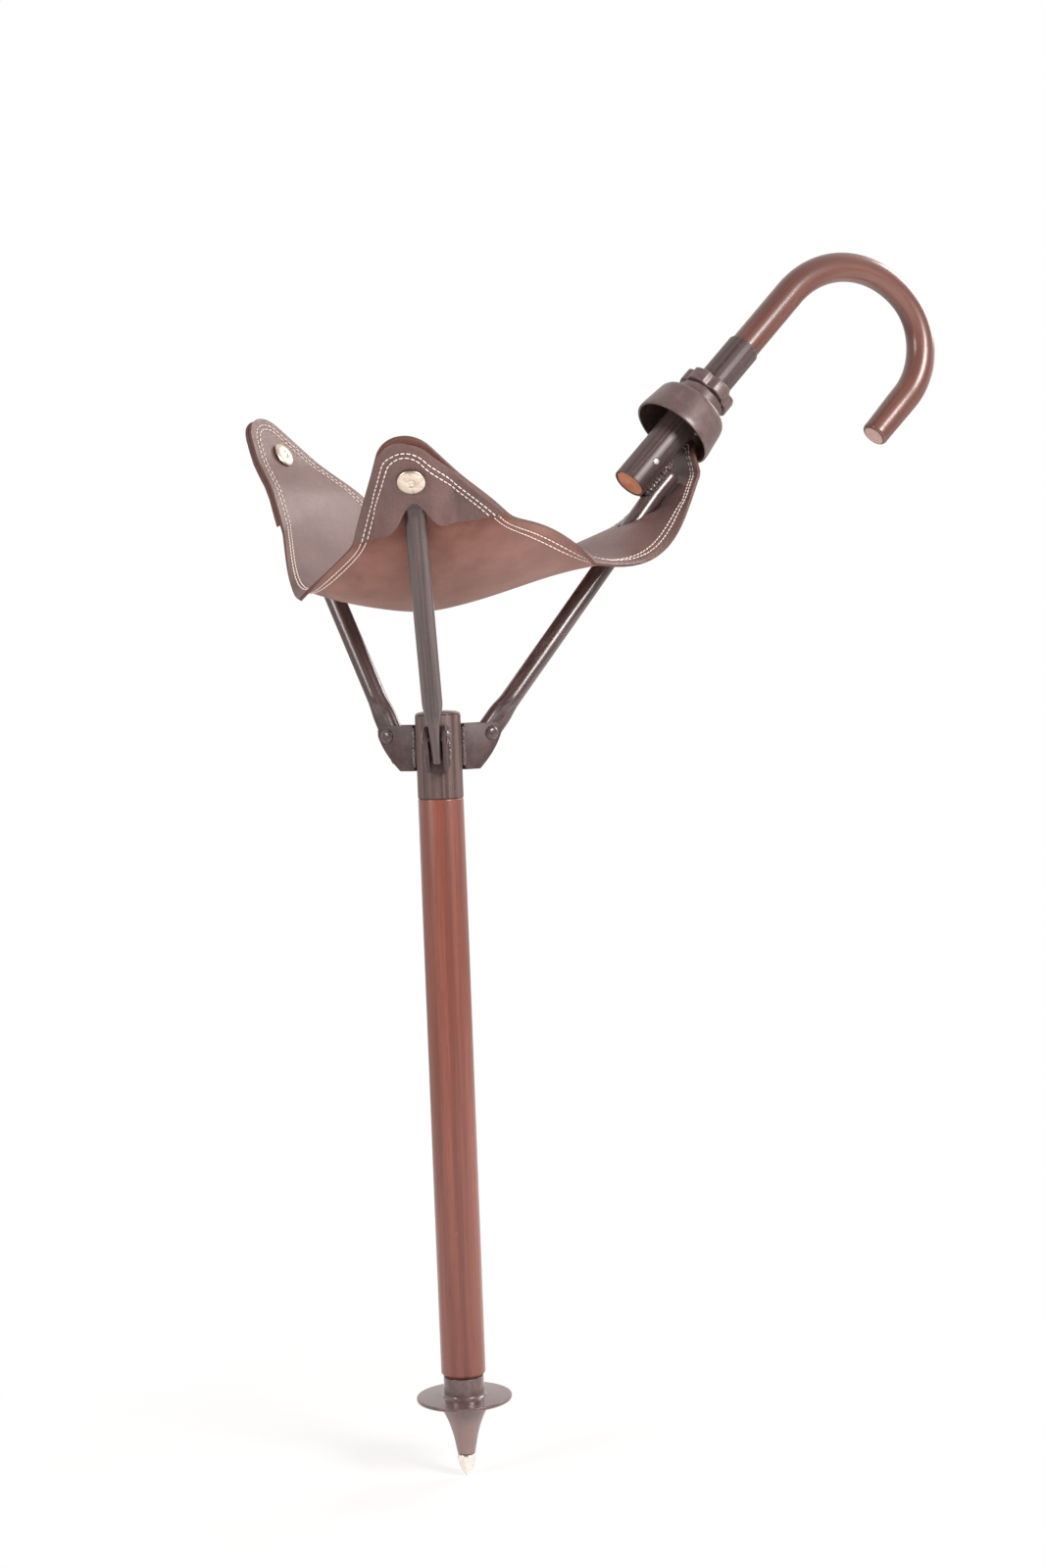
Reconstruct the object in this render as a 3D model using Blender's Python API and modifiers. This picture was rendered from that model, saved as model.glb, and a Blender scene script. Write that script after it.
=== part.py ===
"""Walking-stick seat: a ground stick that carries three hinged arms, a leather sling and a crook handle.

Metres, +Z up. The stick stands on the Z axis with its spike tip at the origin. The handle arm leans
towards +X, the front arm towards -120 degrees and the left arm towards +120 degrees. The arms stand
as they do with the seat open: two on their stops, the left one drawn in by the leather.
"""

import math

import bmesh
import bpy
import numpy as np
from mathutils import Vector

# Clearances
GAP = 0.0003
RUNNING_FIT = 0.00015
SLIDING_FIT = 0.0004
SLOT_FIT = 0.0012
SLOT_LENGTH = 0.090
SLOT_PAST_BEND = 0.006

# Spike and ground disc
SPIKE_TIP_R = 0.0007
SPIKE_R = 0.0059
SPIKE_LENGTH = 0.0142
STUD_R = 0.0030
STUD_GRIP = 0.026
CONE_FOOT_R = 0.0056
CONE_TOP_R = 0.0185
DISC_R = 0.030
DISC_TOP_Z = 0.0512
DISC_THICK = 0.0022
COLLAR_R = 0.0126
COLLAR_TOP_Z = 0.0642
DISC_EDGE = 0.0007
DISC_FILLET = 0.0016

# Shaft, head tube and plug
SHAFT_TOP_R = 0.0142
SHAFT_FOOT_R = 0.0140
SHAFT_LENGTH = 0.3630
SHAFT_EDGE = 0.0018
SPIGOT_LENGTH = 0.034
HEAD_LENGTH = 0.0515
HEAD_WALL = 0.0018
PLUG_DOME = 0.0026
PLUG_DEPTH = 0.012

# Hinges
HINGE_RADIUS = 0.034
HINGE_BELOW_TOP = 0.0126
CHEEK_THICK = 0.0025
CHEEK_SPACE = 0.0085
CHEEK_REACH = 0.0070
CHEEK_RISE = 0.0066
CHEEK_DROP = 0.0220
CHEEK_TAPER = 0.33
WEB_THICK = 0.0025
PIVOT_R = 0.0030
PIVOT_HEAD_R = 0.0048
PIVOT_HEAD = 0.0018

# Arms
ARM_R = 0.00625
ARM_WALL = 0.0012
ARM_LENGTH = 0.212
LUG_THICK = 0.0070
LUG_RISE = 0.0130
LUG_EASE = 0.0140
SPADE_THICK = 0.0050
SPADE_LENGTH = 0.031
SPADE_EASE = 0.011
SNAP_BELOW_TIP = 0.016
STOP_SPLAY = math.radians(41.3)
FRONT_SPLAY = math.radians(40.5)
LEFT_SPLAY = math.radians(24.5)

# Handle, in heights above the hinge when the seat is folded
HANDLE_SPLAY = math.radians(45.8)
TUBE_R = 0.01125
TUBE_WALL = 0.0012
TUBE_FOOT = 0.1876
TUBE_LENGTH = 0.1274
ARM_BEND = 0.195
BEND_EASE = 0.006
HANDLE_ARM_TOP = 0.2145
HANDLE_SNAP = 0.1985
CROOK_R = 0.0100
CROOK_TIP_R = 0.0093
CROOK_WAIST = 0.0011
CROOK_RISE_R = 0.0668
CROOK_FALL_R = 0.0464
CROOK_SPRING = 0.3692
CROOK_TIP = 0.0392
PIN_R = 0.0013
PIN_HEAD_R = 0.0024
PIN_HEAD = 0.0008
PIN_HEIGHT = 0.2070

# Cup, in heights above its rim
CUP_RIM = 0.2344
CUP_R = 0.0274
CUP_SHOULDER_R = 0.0250
CUP_WALL = 0.0016
CUP_DEPTH = 0.0212
CUP_CROWN = 0.0035
NECK_R = 0.0165
NECK_LENGTH = 0.0090
NECK_FILLET = 0.0012
SHOULDER_EDGE = 0.0038
SHOULDER_FALL = 0.0003
GRIP_R = 0.0185
GRIP_LENGTH = 0.0094
GRIP_LOBES = 6
GRIP_NOTCH = 0.0022

# Leather: thickness and the sling's flat pattern, a three-cornered sheet
LEATHER = 0.0022
SEAT_INRADIUS = 0.118
SEAT_CORNER_R = 0.020
SEAT_SNAP = {"handle": 0.170, "left": 0.188, "front": 0.192}

# Leather: how the sling hangs
SEAT_CENTRE_X = -0.006
SEAT_CENTRE_Y = -0.009
SEAT_RISE = 0.0758
DIP_REACH = {"front_handle": 0.109, "front_left": 0.0902, "left_handle": 0.1127}
DIP_TURN = {"front_handle": -52.4, "front_left": 183.8, "left_handle": 49.0}
DIP_RISE = {"front_handle": 0.0245, "front_left": 0.0095, "left_handle": 0.0175}
FLAP_TURN = {"handle": math.radians(-9), "left": math.radians(-18), "front": math.radians(11)}
FLAP_WIDTH = {"handle": 0.80, "left": 1.0, "front": 0.89}
FLAP_SHIFT = {"handle": 0.0, "left": 0.003, "front": -0.0015}
SPINE_SLOPE = {"handle": 0.25, "left": 0.0, "front": 0.0}
SPINE_ARRIVE = {"handle": 0.36, "left": 2.20, "front": 1.17}
STRIP_START = {"handle": 0.160, "left": 0.146, "front": 0.146}
DIP_POWER = 1.3
DRAPE = 0.0060
TUCK = 0.0105
RELAX_STEPS = 4

# Leather: the pockets
POCKET_ARCH_RISE = 0.0285
POCKET_HEM = 0.150
POCKET_ARCH_WIDTH = 0.013
POCKET_RISE_WIDTH = 0.0235
POCKET_EASE = 0.002
POCKET_CLOSE = 0.009
POCKET_SPARE = 0.001
POCKET_POINT_SHARE = 0.35
POCKET_INSET_SHARE = 0.97
SNAP_R = 0.0080
SNAP_DOME = 0.0016
SNAP_SHANK_R = 0.0020

# Facets
TURN_STEPS = 24
SMALL_STEPS = 20
ARM_SIDES = 20
SEAT_CELLS = 13
SEAT_CROWDING = 0.75
POCKET_ROWS = 12
CONE_STEPS = 7
CHEEK_STEPS = 8
ARC_STEPS = 20
LOBE_STEPS = 10

# What follows from the sizes above
SHAFT_FOOT_Z = COLLAR_TOP_Z + GAP
SHAFT_TOP_Z = SHAFT_FOOT_Z + SHAFT_LENGTH
HEAD_FOOT_Z = SHAFT_TOP_Z + GAP
HEAD_TOP_Z = HEAD_FOOT_Z + HEAD_LENGTH
HEAD_R = SHAFT_TOP_R
HEAD_BORE_R = HEAD_R - HEAD_WALL
HINGE_Z = HEAD_TOP_Z - HINGE_BELOW_TOP
WEB_INNER = HEAD_R + GAP
WEB_OUTER = WEB_INNER + WEB_THICK
CHEEK_OUTER = HINGE_RADIUS + CHEEK_REACH
CHEEK_HALF = CHEEK_SPACE / 2 + CHEEK_THICK
PIVOT_HOLE_R = PIVOT_R + RUNNING_FIT
SNAP_REACH = ARM_LENGTH - SNAP_BELOW_TIP
LUG_FLAT = math.pi * (ARM_R - LUG_THICK / 2) / 2
LUG_HALF = LUG_FLAT + LUG_THICK / 2
SPADE_FLAT = math.pi * (ARM_R - SPADE_THICK / 2) / 2
POCKET_FLAT = SPADE_FLAT + SPADE_THICK / 2 + POCKET_SPARE
TAIL = (HINGE_RADIUS - WEB_OUTER - GAP - LUG_HALF * math.cos(STOP_SPLAY)) / math.sin(STOP_SPLAY)
WELD_OFFSET = TUBE_R + GAP + ARM_R
ARM_LEAN = math.atan((HINGE_RADIUS - WELD_OFFSET) / ARM_BEND)
TUBE_TOP = TUBE_FOOT + TUBE_LENGTH
TUBE_BORE_R = TUBE_R - TUBE_WALL
TENON_R = TUBE_BORE_R - GAP
CUP_BORE_R = TUBE_R + SLIDING_FIT
CUP_INNER_R = CUP_R - CUP_WALL
NECK_FOOT = CUP_DEPTH + CUP_CROWN
GRIP_FOOT = NECK_FOOT + NECK_LENGTH + GAP
SEAT_LAY = LEATHER / 2 + GAP
SNAP_HOLE_R = SNAP_SHANK_R + GAP
SEAT_APEX = 2 * SEAT_INRADIUS
ARM_X = WELD_OFFSET - HINGE_RADIUS

TURN = {"handle": 0.0, "left": math.radians(120), "front": math.radians(240)}
SPLAY = {"handle": HANDLE_SPLAY, "left": LEFT_SPLAY, "front": FRONT_SPLAY}

for old in list(bpy.data.objects):
    bpy.data.objects.remove(old, do_unlink=True)


def new_collection(name):
    collection = bpy.data.collections.new(name)
    bpy.context.scene.collection.children.link(collection)
    return collection


parts = new_collection("walking_stick_seat")
cutters = new_collection("cutters")


def material(name, colour, roughness, metallic=0.0):
    made = bpy.data.materials.new(name)
    made.use_nodes = True
    shader = made.node_tree.nodes["Principled BSDF"]
    shader.inputs["Base Color"].default_value = (*colour, 1.0)
    shader.inputs["Roughness"].default_value = roughness
    shader.inputs["Metallic"].default_value = metallic
    return made


wood = material("varnished_wood", (0.23, 0.09, 0.05), 0.30)
black_steel = material("black_painted_steel", (0.03, 0.025, 0.025), 0.30)
black_plastic = material("black_plastic", (0.035, 0.03, 0.03), 0.55)
bright_steel = material("bright_steel", (0.75, 0.72, 0.68), 0.25, 1.0)
nickel = material("nickel_plate", (0.80, 0.75, 0.66), 0.25, 1.0)
leather = material("brown_leather", (0.20, 0.09, 0.06), 0.50)


def place(obj, collection, surface=None, parent=None, location=(0, 0, 0), rotation=(0, 0, 0)):
    collection.objects.link(obj)
    obj.parent = parent
    obj.location = location
    obj.rotation_euler = rotation
    if surface:
        obj.data.materials.append(surface)
    if collection is cutters:
        obj.hide_render = True
        obj.display_type = "WIRE"
    return obj


def mesh_from(name, bm, smooth_angle=0.6):
    data = bpy.data.meshes.new(name)
    bm.to_mesh(data)
    bm.free()
    data.shade_smooth()
    data.set_sharp_from_angle(angle=smooth_angle)
    return bpy.data.objects.new(name, data)


def turned(name, profile, steps=TURN_STEPS, hollow=False):
    """A profile of (radius, height) pairs, down its outer side, turned about Z."""
    bm = bmesh.new()
    points = [bm.verts.new((r, 0, z)) for r, z in profile]
    pairs = list(zip(points, points[1:] + points[:1])) if hollow else list(zip(points, points[1:]))
    for pair in pairs:
        bm.edges.new(pair)
    obj = mesh_from(name, bm)
    screw = obj.modifiers.new("Turn", "SCREW")
    screw.axis = "Z"
    screw.angle = math.tau
    screw.steps = steps
    screw.render_steps = steps
    screw.use_merge_vertices = True
    screw.merge_threshold = 0.00001
    return obj


def cylinder(name, radius, length, steps=SMALL_STEPS):
    bm = bmesh.new()
    bmesh.ops.create_cone(
        bm, cap_ends=True, segments=steps, radius1=radius, radius2=radius, depth=length
    )
    return mesh_from(name, bm)


def box(name, low, high):
    bm = bmesh.new()
    bmesh.ops.create_cube(bm, size=1.0)
    for vert in bm.verts:
        vert.co = [a + (c + 0.5) * (b - a) for a, b, c in zip(low, high, vert.co)]
    return mesh_from(name, bm)


def outline(name, loops, half_depth):
    """A flat outline in X and Y, filled and given depth along Z. Later loops are holes."""
    curve = bpy.data.curves.new(name, "CURVE")
    curve.dimensions = "2D"
    curve.fill_mode = "BOTH"
    curve.extrude = half_depth
    for loop in loops:
        spline = curve.splines.new("POLY")
        spline.points.add(len(loop) - 1)
        spline.use_cyclic_u = True
        for point, (x, y) in zip(spline.points, loop):
            point.co = (x, y, 0, 1)
    return bpy.data.objects.new(name, curve)


def as_mesh(curve_object):
    """The same object as a welded mesh, so that it can be cut."""
    bpy.context.scene.collection.objects.link(curve_object)
    graph = bpy.context.evaluated_depsgraph_get()
    data = bpy.data.meshes.new_from_object(curve_object.evaluated_get(graph))
    bm = bmesh.new()
    bm.from_mesh(data)
    bmesh.ops.remove_doubles(bm, verts=bm.verts, dist=0.000001)
    name = curve_object.name
    bpy.data.objects.remove(curve_object, do_unlink=True)
    return mesh_from(name, bm)


def loft(name, rings):
    """Rings of points bridged one to the next, and the last to the first: a tube with a bore."""
    bm = bmesh.new()
    rows = [[bm.verts.new(p) for p in ring] for ring in rings]
    for lower, upper in zip(rows, rows[1:] + rows[:1]):
        for k in range(len(lower)):
            nxt = (k + 1) % len(lower)
            bm.faces.new((lower[k], lower[nxt], upper[nxt], upper[k]))
    bmesh.ops.recalc_face_normals(bm, faces=bm.faces)
    return mesh_from(name, bm)


def thicken(obj):
    solid = obj.modifiers.new("Thickness", "SOLIDIFY")
    solid.thickness = LEATHER
    solid.offset = 0.0
    solid.use_even_offset = True


def cut(obj, *tools):
    for tool in tools:
        modifier = obj.modifiers.new("Cut", "BOOLEAN")
        modifier.operation = "DIFFERENCE"
        modifier.object = tool


# The hinge frames: +Z runs up the arm, +X away from the stick, and the joint turns about Y.
hinges = {}
for side, turn in TURN.items():
    hinge = bpy.data.objects.new("hinge_" + side, None)
    hinge.empty_display_size = 0.02
    at = (HINGE_RADIUS * math.cos(turn), HINGE_RADIUS * math.sin(turn), HINGE_Z)
    hinges[side] = place(hinge, parts, location=at, rotation=(0, SPLAY[side], turn))

# Spike: a bullet point on a long stud
place(
    turned(
        "ground_spike",
        [
            (0, SHAFT_FOOT_Z + STUD_GRIP),
            (STUD_R, SHAFT_FOOT_Z + STUD_GRIP),
            (STUD_R, SPIKE_LENGTH),
            (SPIKE_R, SPIKE_LENGTH),
            (SPIKE_R, SPIKE_LENGTH * 0.86),
            (SPIKE_R * 0.86, SPIKE_LENGTH * 0.58),
            (SPIKE_R * 0.55, SPIKE_LENGTH * 0.25),
            (SPIKE_TIP_R, 0),
            (0, 0),
        ],
        SMALL_STEPS,
    ),
    parts,
    bright_steel,
)

# Ground disc: collar, disc and hollow-sided cone in one moulding
CONE_FOOT_Z = SPIKE_LENGTH + GAP
DISC_FOOT_Z = DISC_TOP_Z - DISC_THICK
CONE_RISE = DISC_FOOT_Z - CONE_FOOT_Z
cone = []
for k in range(CONE_STEPS + 1):
    share = k / CONE_STEPS
    flare = CONE_FOOT_R + (CONE_TOP_R - CONE_FOOT_R) * (0.45 * share + 0.55 * share**3)
    cone.append((flare, CONE_FOOT_Z + CONE_RISE * share))
place(
    turned(
        "ground_disc",
        [
            (COLLAR_R - DISC_EDGE, COLLAR_TOP_Z),
            (COLLAR_R, COLLAR_TOP_Z - DISC_EDGE),
            (COLLAR_R, DISC_TOP_Z + DISC_FILLET),
            (COLLAR_R + DISC_FILLET, DISC_TOP_Z),
            (DISC_R - DISC_EDGE, DISC_TOP_Z),
            (DISC_R, DISC_TOP_Z - DISC_EDGE),
            (DISC_R, DISC_FOOT_Z + DISC_EDGE),
            (DISC_R - DISC_EDGE, DISC_FOOT_Z),
            *reversed(cone),
            (STUD_R + GAP, CONE_FOOT_Z),
            (STUD_R + GAP, COLLAR_TOP_Z),
        ],
        hollow=True,
    ),
    parts,
    black_plastic,
)

# Shaft: turned wood with a spigot at the head and a drilled foot
place(
    turned(
        "shaft",
        [
            (0, SHAFT_TOP_Z + SPIGOT_LENGTH),
            (HEAD_BORE_R - GAP, SHAFT_TOP_Z + SPIGOT_LENGTH),
            (HEAD_BORE_R - GAP, SHAFT_TOP_Z),
            (SHAFT_TOP_R, SHAFT_TOP_Z),
            (SHAFT_FOOT_R, SHAFT_FOOT_Z + SHAFT_EDGE),
            (SHAFT_FOOT_R - 0.3 * SHAFT_EDGE, SHAFT_FOOT_Z + 0.3 * SHAFT_EDGE),
            (SHAFT_FOOT_R - SHAFT_EDGE, SHAFT_FOOT_Z),
            (STUD_R + GAP, SHAFT_FOOT_Z),
            (STUD_R + GAP, SHAFT_FOOT_Z + STUD_GRIP + GAP),
            (0, SHAFT_FOOT_Z + STUD_GRIP + GAP),
        ],
    ),
    parts,
    wood,
)

# Head tube and its domed plug
place(
    turned(
        "head_tube",
        [
            (HEAD_R, HEAD_TOP_Z),
            (HEAD_R, HEAD_FOOT_Z),
            (HEAD_BORE_R, HEAD_FOOT_Z),
            (HEAD_BORE_R, HEAD_TOP_Z),
        ],
        hollow=True,
    ),
    parts,
    black_steel,
)
PLUG_FOOT_Z = HEAD_TOP_Z + GAP
place(
    turned(
        "head_plug",
        [
            (0, PLUG_FOOT_Z + PLUG_DOME),
            (0.45 * HEAD_R, PLUG_FOOT_Z + 0.93 * PLUG_DOME),
            (0.80 * HEAD_R, PLUG_FOOT_Z + 0.68 * PLUG_DOME),
            (0.96 * HEAD_R, PLUG_FOOT_Z + 0.35 * PLUG_DOME),
            (HEAD_R, PLUG_FOOT_Z),
            (HEAD_BORE_R - GAP, PLUG_FOOT_Z),
            (HEAD_BORE_R - GAP, PLUG_FOOT_Z - PLUG_DEPTH),
            (0, PLUG_FOOT_Z - PLUG_DEPTH),
        ],
    ),
    parts,
    black_plastic,
)

# Hinge brackets: a channel with tapered cheeks, its web on the head tube, and a rivet through them
cheek = [
    (WEB_INNER, HINGE_Z + CHEEK_RISE),
    (CHEEK_OUTER - 0.3 * CHEEK_REACH, HINGE_Z + CHEEK_RISE),
    (CHEEK_OUTER, HINGE_Z + 0.6 * CHEEK_RISE),
]
for k in range(CHEEK_STEPS + 1):
    share = k / CHEEK_STEPS
    reach = 1 - CHEEK_TAPER * share * (1 + share)
    cheek.append((WEB_OUTER + (CHEEK_OUTER - WEB_OUTER) * reach, HINGE_Z - CHEEK_DROP * share))
cheek.append((WEB_INNER, HINGE_Z - CHEEK_DROP))
for side, turn in TURN.items():
    out = Vector((math.cos(turn), math.sin(turn), 0))
    pivot = out * HINGE_RADIUS + Vector((0, 0, HINGE_Z))
    across = (math.radians(90), 0, turn)
    hole = place(
        cylinder("pivot_hole_" + side, PIVOT_HOLE_R, 4 * CHEEK_HALF),
        cutters,
        location=pivot,
        rotation=across,
    )
    slot = place(
        box(
            "slot_" + side,
            (WEB_OUTER, -CHEEK_SPACE / 2, HINGE_Z - 2 * CHEEK_DROP),
            (2 * CHEEK_OUTER, CHEEK_SPACE / 2, HINGE_Z + 2 * CHEEK_RISE),
        ),
        cutters,
        rotation=(0, 0, turn),
    )
    bracket = as_mesh(outline("bracket_" + side, [cheek], CHEEK_HALF))
    place(bracket, parts, black_steel, rotation=across)
    cut(bracket, slot, hole)
    top = CHEEK_HALF + GAP + PIVOT_HEAD
    place(
        turned(
            "pivot_rivet_" + side,
            [
                (0, top),
                (0.55 * PIVOT_HEAD_R, top - 0.18 * PIVOT_HEAD),
                (PIVOT_HEAD_R, CHEEK_HALF + GAP),
                (PIVOT_R, CHEEK_HALF + GAP),
                (PIVOT_R, -CHEEK_HALF - GAP),
                (PIVOT_HEAD_R, -CHEEK_HALF - GAP),
                (0.55 * PIVOT_HEAD_R, 0.18 * PIVOT_HEAD - top),
                (0, -top),
            ],
            SMALL_STEPS,
        ),
        parts,
        black_steel,
        location=pivot,
        rotation=across,
    )


# Arms: round tube, pressed flat at the hinge end and, inside the pockets, at the upper end
def section(radius, flat_out, flat_across):
    """Half the corners of a round or pressed tube: a circle pulled apart along X or along Y."""
    ring = []
    for k in range(ARM_SIDES):
        a = math.tau * (k + 0.5) / ARM_SIDES
        x = radius * math.cos(a) + math.copysign(flat_out, math.cos(a))
        y = radius * math.sin(a) + math.copysign(flat_across, math.sin(a))
        ring.append((x, y))
    return ring


def arm_rings(stations, path, shrink):
    rings = []
    for t, radius, flat_out, flat_across in stations:
        x0, z0, lean = path(t)
        ring = []
        for x, y in section(radius - shrink, flat_out, flat_across):
            ring.append((x0 + x * math.cos(lean), y, z0 + x * math.sin(lean)))
        rings.append(ring)
    return rings


def straight_path(t):
    return 0.0, t, 0.0


def handle_path(t):
    """Leans in to the handle tube, then runs beside it."""
    bend = ARM_BEND / math.cos(ARM_LEAN)
    if t <= bend:
        return -t * math.sin(ARM_LEAN), t * math.cos(ARM_LEAN), ARM_LEAN
    return WELD_OFFSET - HINGE_RADIUS, ARM_BEND + t - bend, 0.0


lug = [
    (-TAIL, LUG_THICK / 2, LUG_FLAT, 0.0),
    (LUG_RISE, LUG_THICK / 2, LUG_FLAT, 0.0),
    (LUG_RISE + LUG_EASE / 2, (LUG_THICK / 2 + ARM_R) / 2, LUG_FLAT / 2, 0.0),
    (LUG_RISE + LUG_EASE, ARM_R, 0.0, 0.0),
]
spade_foot = ARM_LENGTH - SPADE_LENGTH
spade = [
    (spade_foot - SPADE_EASE, ARM_R, 0.0, 0.0),
    (spade_foot - SPADE_EASE / 2, (SPADE_THICK / 2 + ARM_R) / 2, 0.0, SPADE_FLAT / 2),
    (spade_foot, SPADE_THICK / 2, 0.0, SPADE_FLAT),
    (ARM_LENGTH, SPADE_THICK / 2, 0.0, SPADE_FLAT),
]
bend_at = ARM_BEND / math.cos(ARM_LEAN)
rod = [(bend_at - BEND_EASE, ARM_R, 0.0, 0.0), (bend_at, ARM_R, 0.0, 0.0)]
rod.append((bend_at + HANDLE_ARM_TOP - ARM_BEND, ARM_R, 0.0, 0.0))
for side in TURN:
    stations = lug + (rod if side == "handle" else spade)
    path = handle_path if side == "handle" else straight_path
    rings = arm_rings(stations, path, 0.0)
    rings += reversed(arm_rings(stations, path, ARM_WALL))
    arm = place(loft("arm_" + side, rings), parts, black_steel, parent=hinges[side])
    cut(arm, cutters.objects["pivot_hole_" + side])

# Handle tube, with the crook's straight end inside it and a small pin through the wall
AXIS_X = -HINGE_RADIUS
handle = hinges["handle"]
place(
    turned(
        "handle_tube",
        [
            (TUBE_R, TUBE_TOP),
            (TUBE_R, TUBE_FOOT),
            (TUBE_BORE_R, TUBE_FOOT),
            (TUBE_BORE_R, TUBE_TOP),
        ],
        hollow=True,
    ),
    parts,
    black_steel,
    parent=handle,
    location=(AXIS_X, 0, 0),
)
crook_curve = bpy.data.curves.new("crook", "CURVE")
crook_curve.dimensions = "3D"
crook_curve.bevel_depth = CROOK_R
crook_curve.bevel_resolution = 6
crook_curve.use_fill_caps = True
SHOULDER = TUBE_TOP + GAP
stick_points = [(0, TUBE_FOOT + GAP, TENON_R), (0, SHOULDER - GAP / 3, TENON_R), (0, SHOULDER, CROOK_R)]
CROOK_TOP = CROOK_SPRING + CROOK_RISE_R
for k in range(ARC_STEPS + 1):
    a = math.pi * k / ARC_STEPS
    bend = CROOK_RISE_R if 2 * k < ARC_STEPS else CROOK_FALL_R
    radius = CROOK_R - CROOK_WAIST * math.sin(a) ** 4
    stick_points.append(
        (CROOK_RISE_R - bend * math.cos(a), CROOK_TOP - bend + bend * math.sin(a), radius)
    )
tip_x = CROOK_RISE_R + CROOK_FALL_R
tip_z = CROOK_TOP - CROOK_FALL_R - CROOK_TIP
stick_points.append((tip_x, tip_z + 0.20 * CROOK_TIP_R, CROOK_TIP_R))
stick_points.append((tip_x, tip_z, 0.85 * CROOK_TIP_R))
spline = crook_curve.splines.new("POLY")
spline.points.add(len(stick_points) - 1)
for point, (x, z, radius) in zip(spline.points, stick_points):
    point.co = (x, 0, z, 1)
    point.radius = radius / CROOK_R
crook = as_mesh(bpy.data.objects.new("crook", crook_curve))
place(crook, parts, wood, parent=handle, location=(AXIS_X, 0, 0))
pin_hole = place(
    cylinder("pin_hole", PIN_R + GAP, 2 * TUBE_R, SMALL_STEPS),
    cutters,
    parent=handle,
    location=(AXIS_X, -TUBE_R, PIN_HEIGHT),
    rotation=(math.radians(90), 0, 0),
)
cut(crook, pin_hole)
cut(parts.objects["handle_tube"], pin_hole)
place(
    turned(
        "handle_pin",
        [
            (0, TUBE_R + GAP + PIN_HEAD),
            (0.7 * PIN_HEAD_R, TUBE_R + GAP + 0.8 * PIN_HEAD),
            (PIN_HEAD_R, TUBE_R + GAP),
            (PIN_R, TUBE_R + GAP),
            (PIN_R, GAP),
            (0, GAP),
        ],
        SMALL_STEPS,
    ),
    parts,
    bright_steel,
    parent=handle,
    location=(AXIS_X, 0, PIN_HEIGHT),
    rotation=(math.radians(90), 0, 0),
)

# Cup and grip ring, which slide on the handle tube
place(
    turned(
        "cup",
        [
            (NECK_R, NECK_FOOT + NECK_LENGTH),
            (NECK_R, NECK_FOOT + NECK_FILLET),
            (NECK_R + NECK_FILLET, NECK_FOOT),
            (CUP_SHOULDER_R - SHOULDER_EDGE, NECK_FOOT - SHOULDER_FALL),
            (CUP_SHOULDER_R - 0.3 * SHOULDER_EDGE, NECK_FOOT - 0.3 * SHOULDER_EDGE),
            (CUP_SHOULDER_R, NECK_FOOT - SHOULDER_EDGE),
            (CUP_R, 0.15 * CUP_DEPTH),
            (CUP_R, 0),
            (CUP_INNER_R, 0),
            (CUP_INNER_R, 0.15 * CUP_DEPTH),
            (CUP_SHOULDER_R - CUP_WALL, CUP_DEPTH),
            (CUP_BORE_R, CUP_DEPTH),
            (CUP_BORE_R, NECK_FOOT + NECK_LENGTH),
        ],
        hollow=True,
    ),
    parts,
    black_plastic,
    parent=handle,
    location=(AXIS_X, 0, CUP_RIM),
)
lobes = []
bore = []
for k in range(LOBE_STEPS * GRIP_LOBES):
    a = math.tau * k / (LOBE_STEPS * GRIP_LOBES)
    dip = max(0.0, math.cos(GRIP_LOBES * a)) ** 2
    r = GRIP_R - GRIP_NOTCH * dip
    lobes.append((r * math.cos(a), r * math.sin(a)))
for k in range(TURN_STEPS):
    a = math.tau * k / TURN_STEPS
    bore.append((CUP_BORE_R * math.cos(a), CUP_BORE_R * math.sin(a)))
place(
    as_mesh(outline("grip_ring", [lobes, bore], GRIP_LENGTH / 2)),
    parts,
    black_plastic,
    parent=handle,
    location=(AXIS_X, 0, CUP_RIM + GRIP_FOOT + GRIP_LENGTH / 2),
)


# The sling: a three-cornered sheet, flat pattern in (x, y) from its centre along one arm's direction
def smooth(a, b, x):
    s = min(1.0, max(0.0, (x - a) / (b - a)))
    return s * s * (3 - 2 * s)


def unit(turn):
    return np.array([math.cos(turn), math.sin(turn), 0.0])


UP = np.array([0.0, 0.0, 1.0])
SEAT_CENTRE = np.array([SEAT_CENTRE_X, SEAT_CENTRE_Y, HINGE_Z + SEAT_RISE])
EDGES = {
    "handle": {1: "left_handle", -1: "front_handle"},
    "left": {1: "front_left", -1: "left_handle"},
    "front": {1: "front_handle", -1: "front_left"},
}
# How far an edge runs on from its dip towards a corner, how steeply it climbs there, and how long it
# keeps to the corner's line at the other end
EDGE_RUN = {
    "handle": {"left_handle": (1.5, 0.30, 0.8), "front_handle": (2.9, -0.04, 1.3)},
    "left": {"front_left": (0.5, 0.1, 0.2), "left_handle": (1.0, 0.0, 1.0)},
    "front": {"front_handle": (1.8, 0.45, 0.3), "front_left": (0.8, 0.45, 0.1)},
}


def arm_frame(side):
    """Hinge point, direction up the arm, direction outwards, direction across."""
    turn, splay = TURN[side], SPLAY[side]
    out = unit(turn)
    along = out * math.sin(splay) + UP * math.cos(splay)
    away = out * math.cos(splay) - UP * math.sin(splay)
    return out * HINGE_RADIUS + UP * HINGE_Z, along, away, unit(turn + math.pi / 2)


def arm_clear(t):
    """Distance from the arm's axis to the middle of leather that lies on it, at t up the arm."""
    press = smooth(spade_foot - SPADE_EASE - DRAPE, spade_foot + 2.5 * DRAPE, t)
    slack = 0.2 * DRAPE * (1 - press)
    return ARM_R + (SPADE_THICK / 2 - ARM_R) * press + SEAT_LAY + slack


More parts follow.
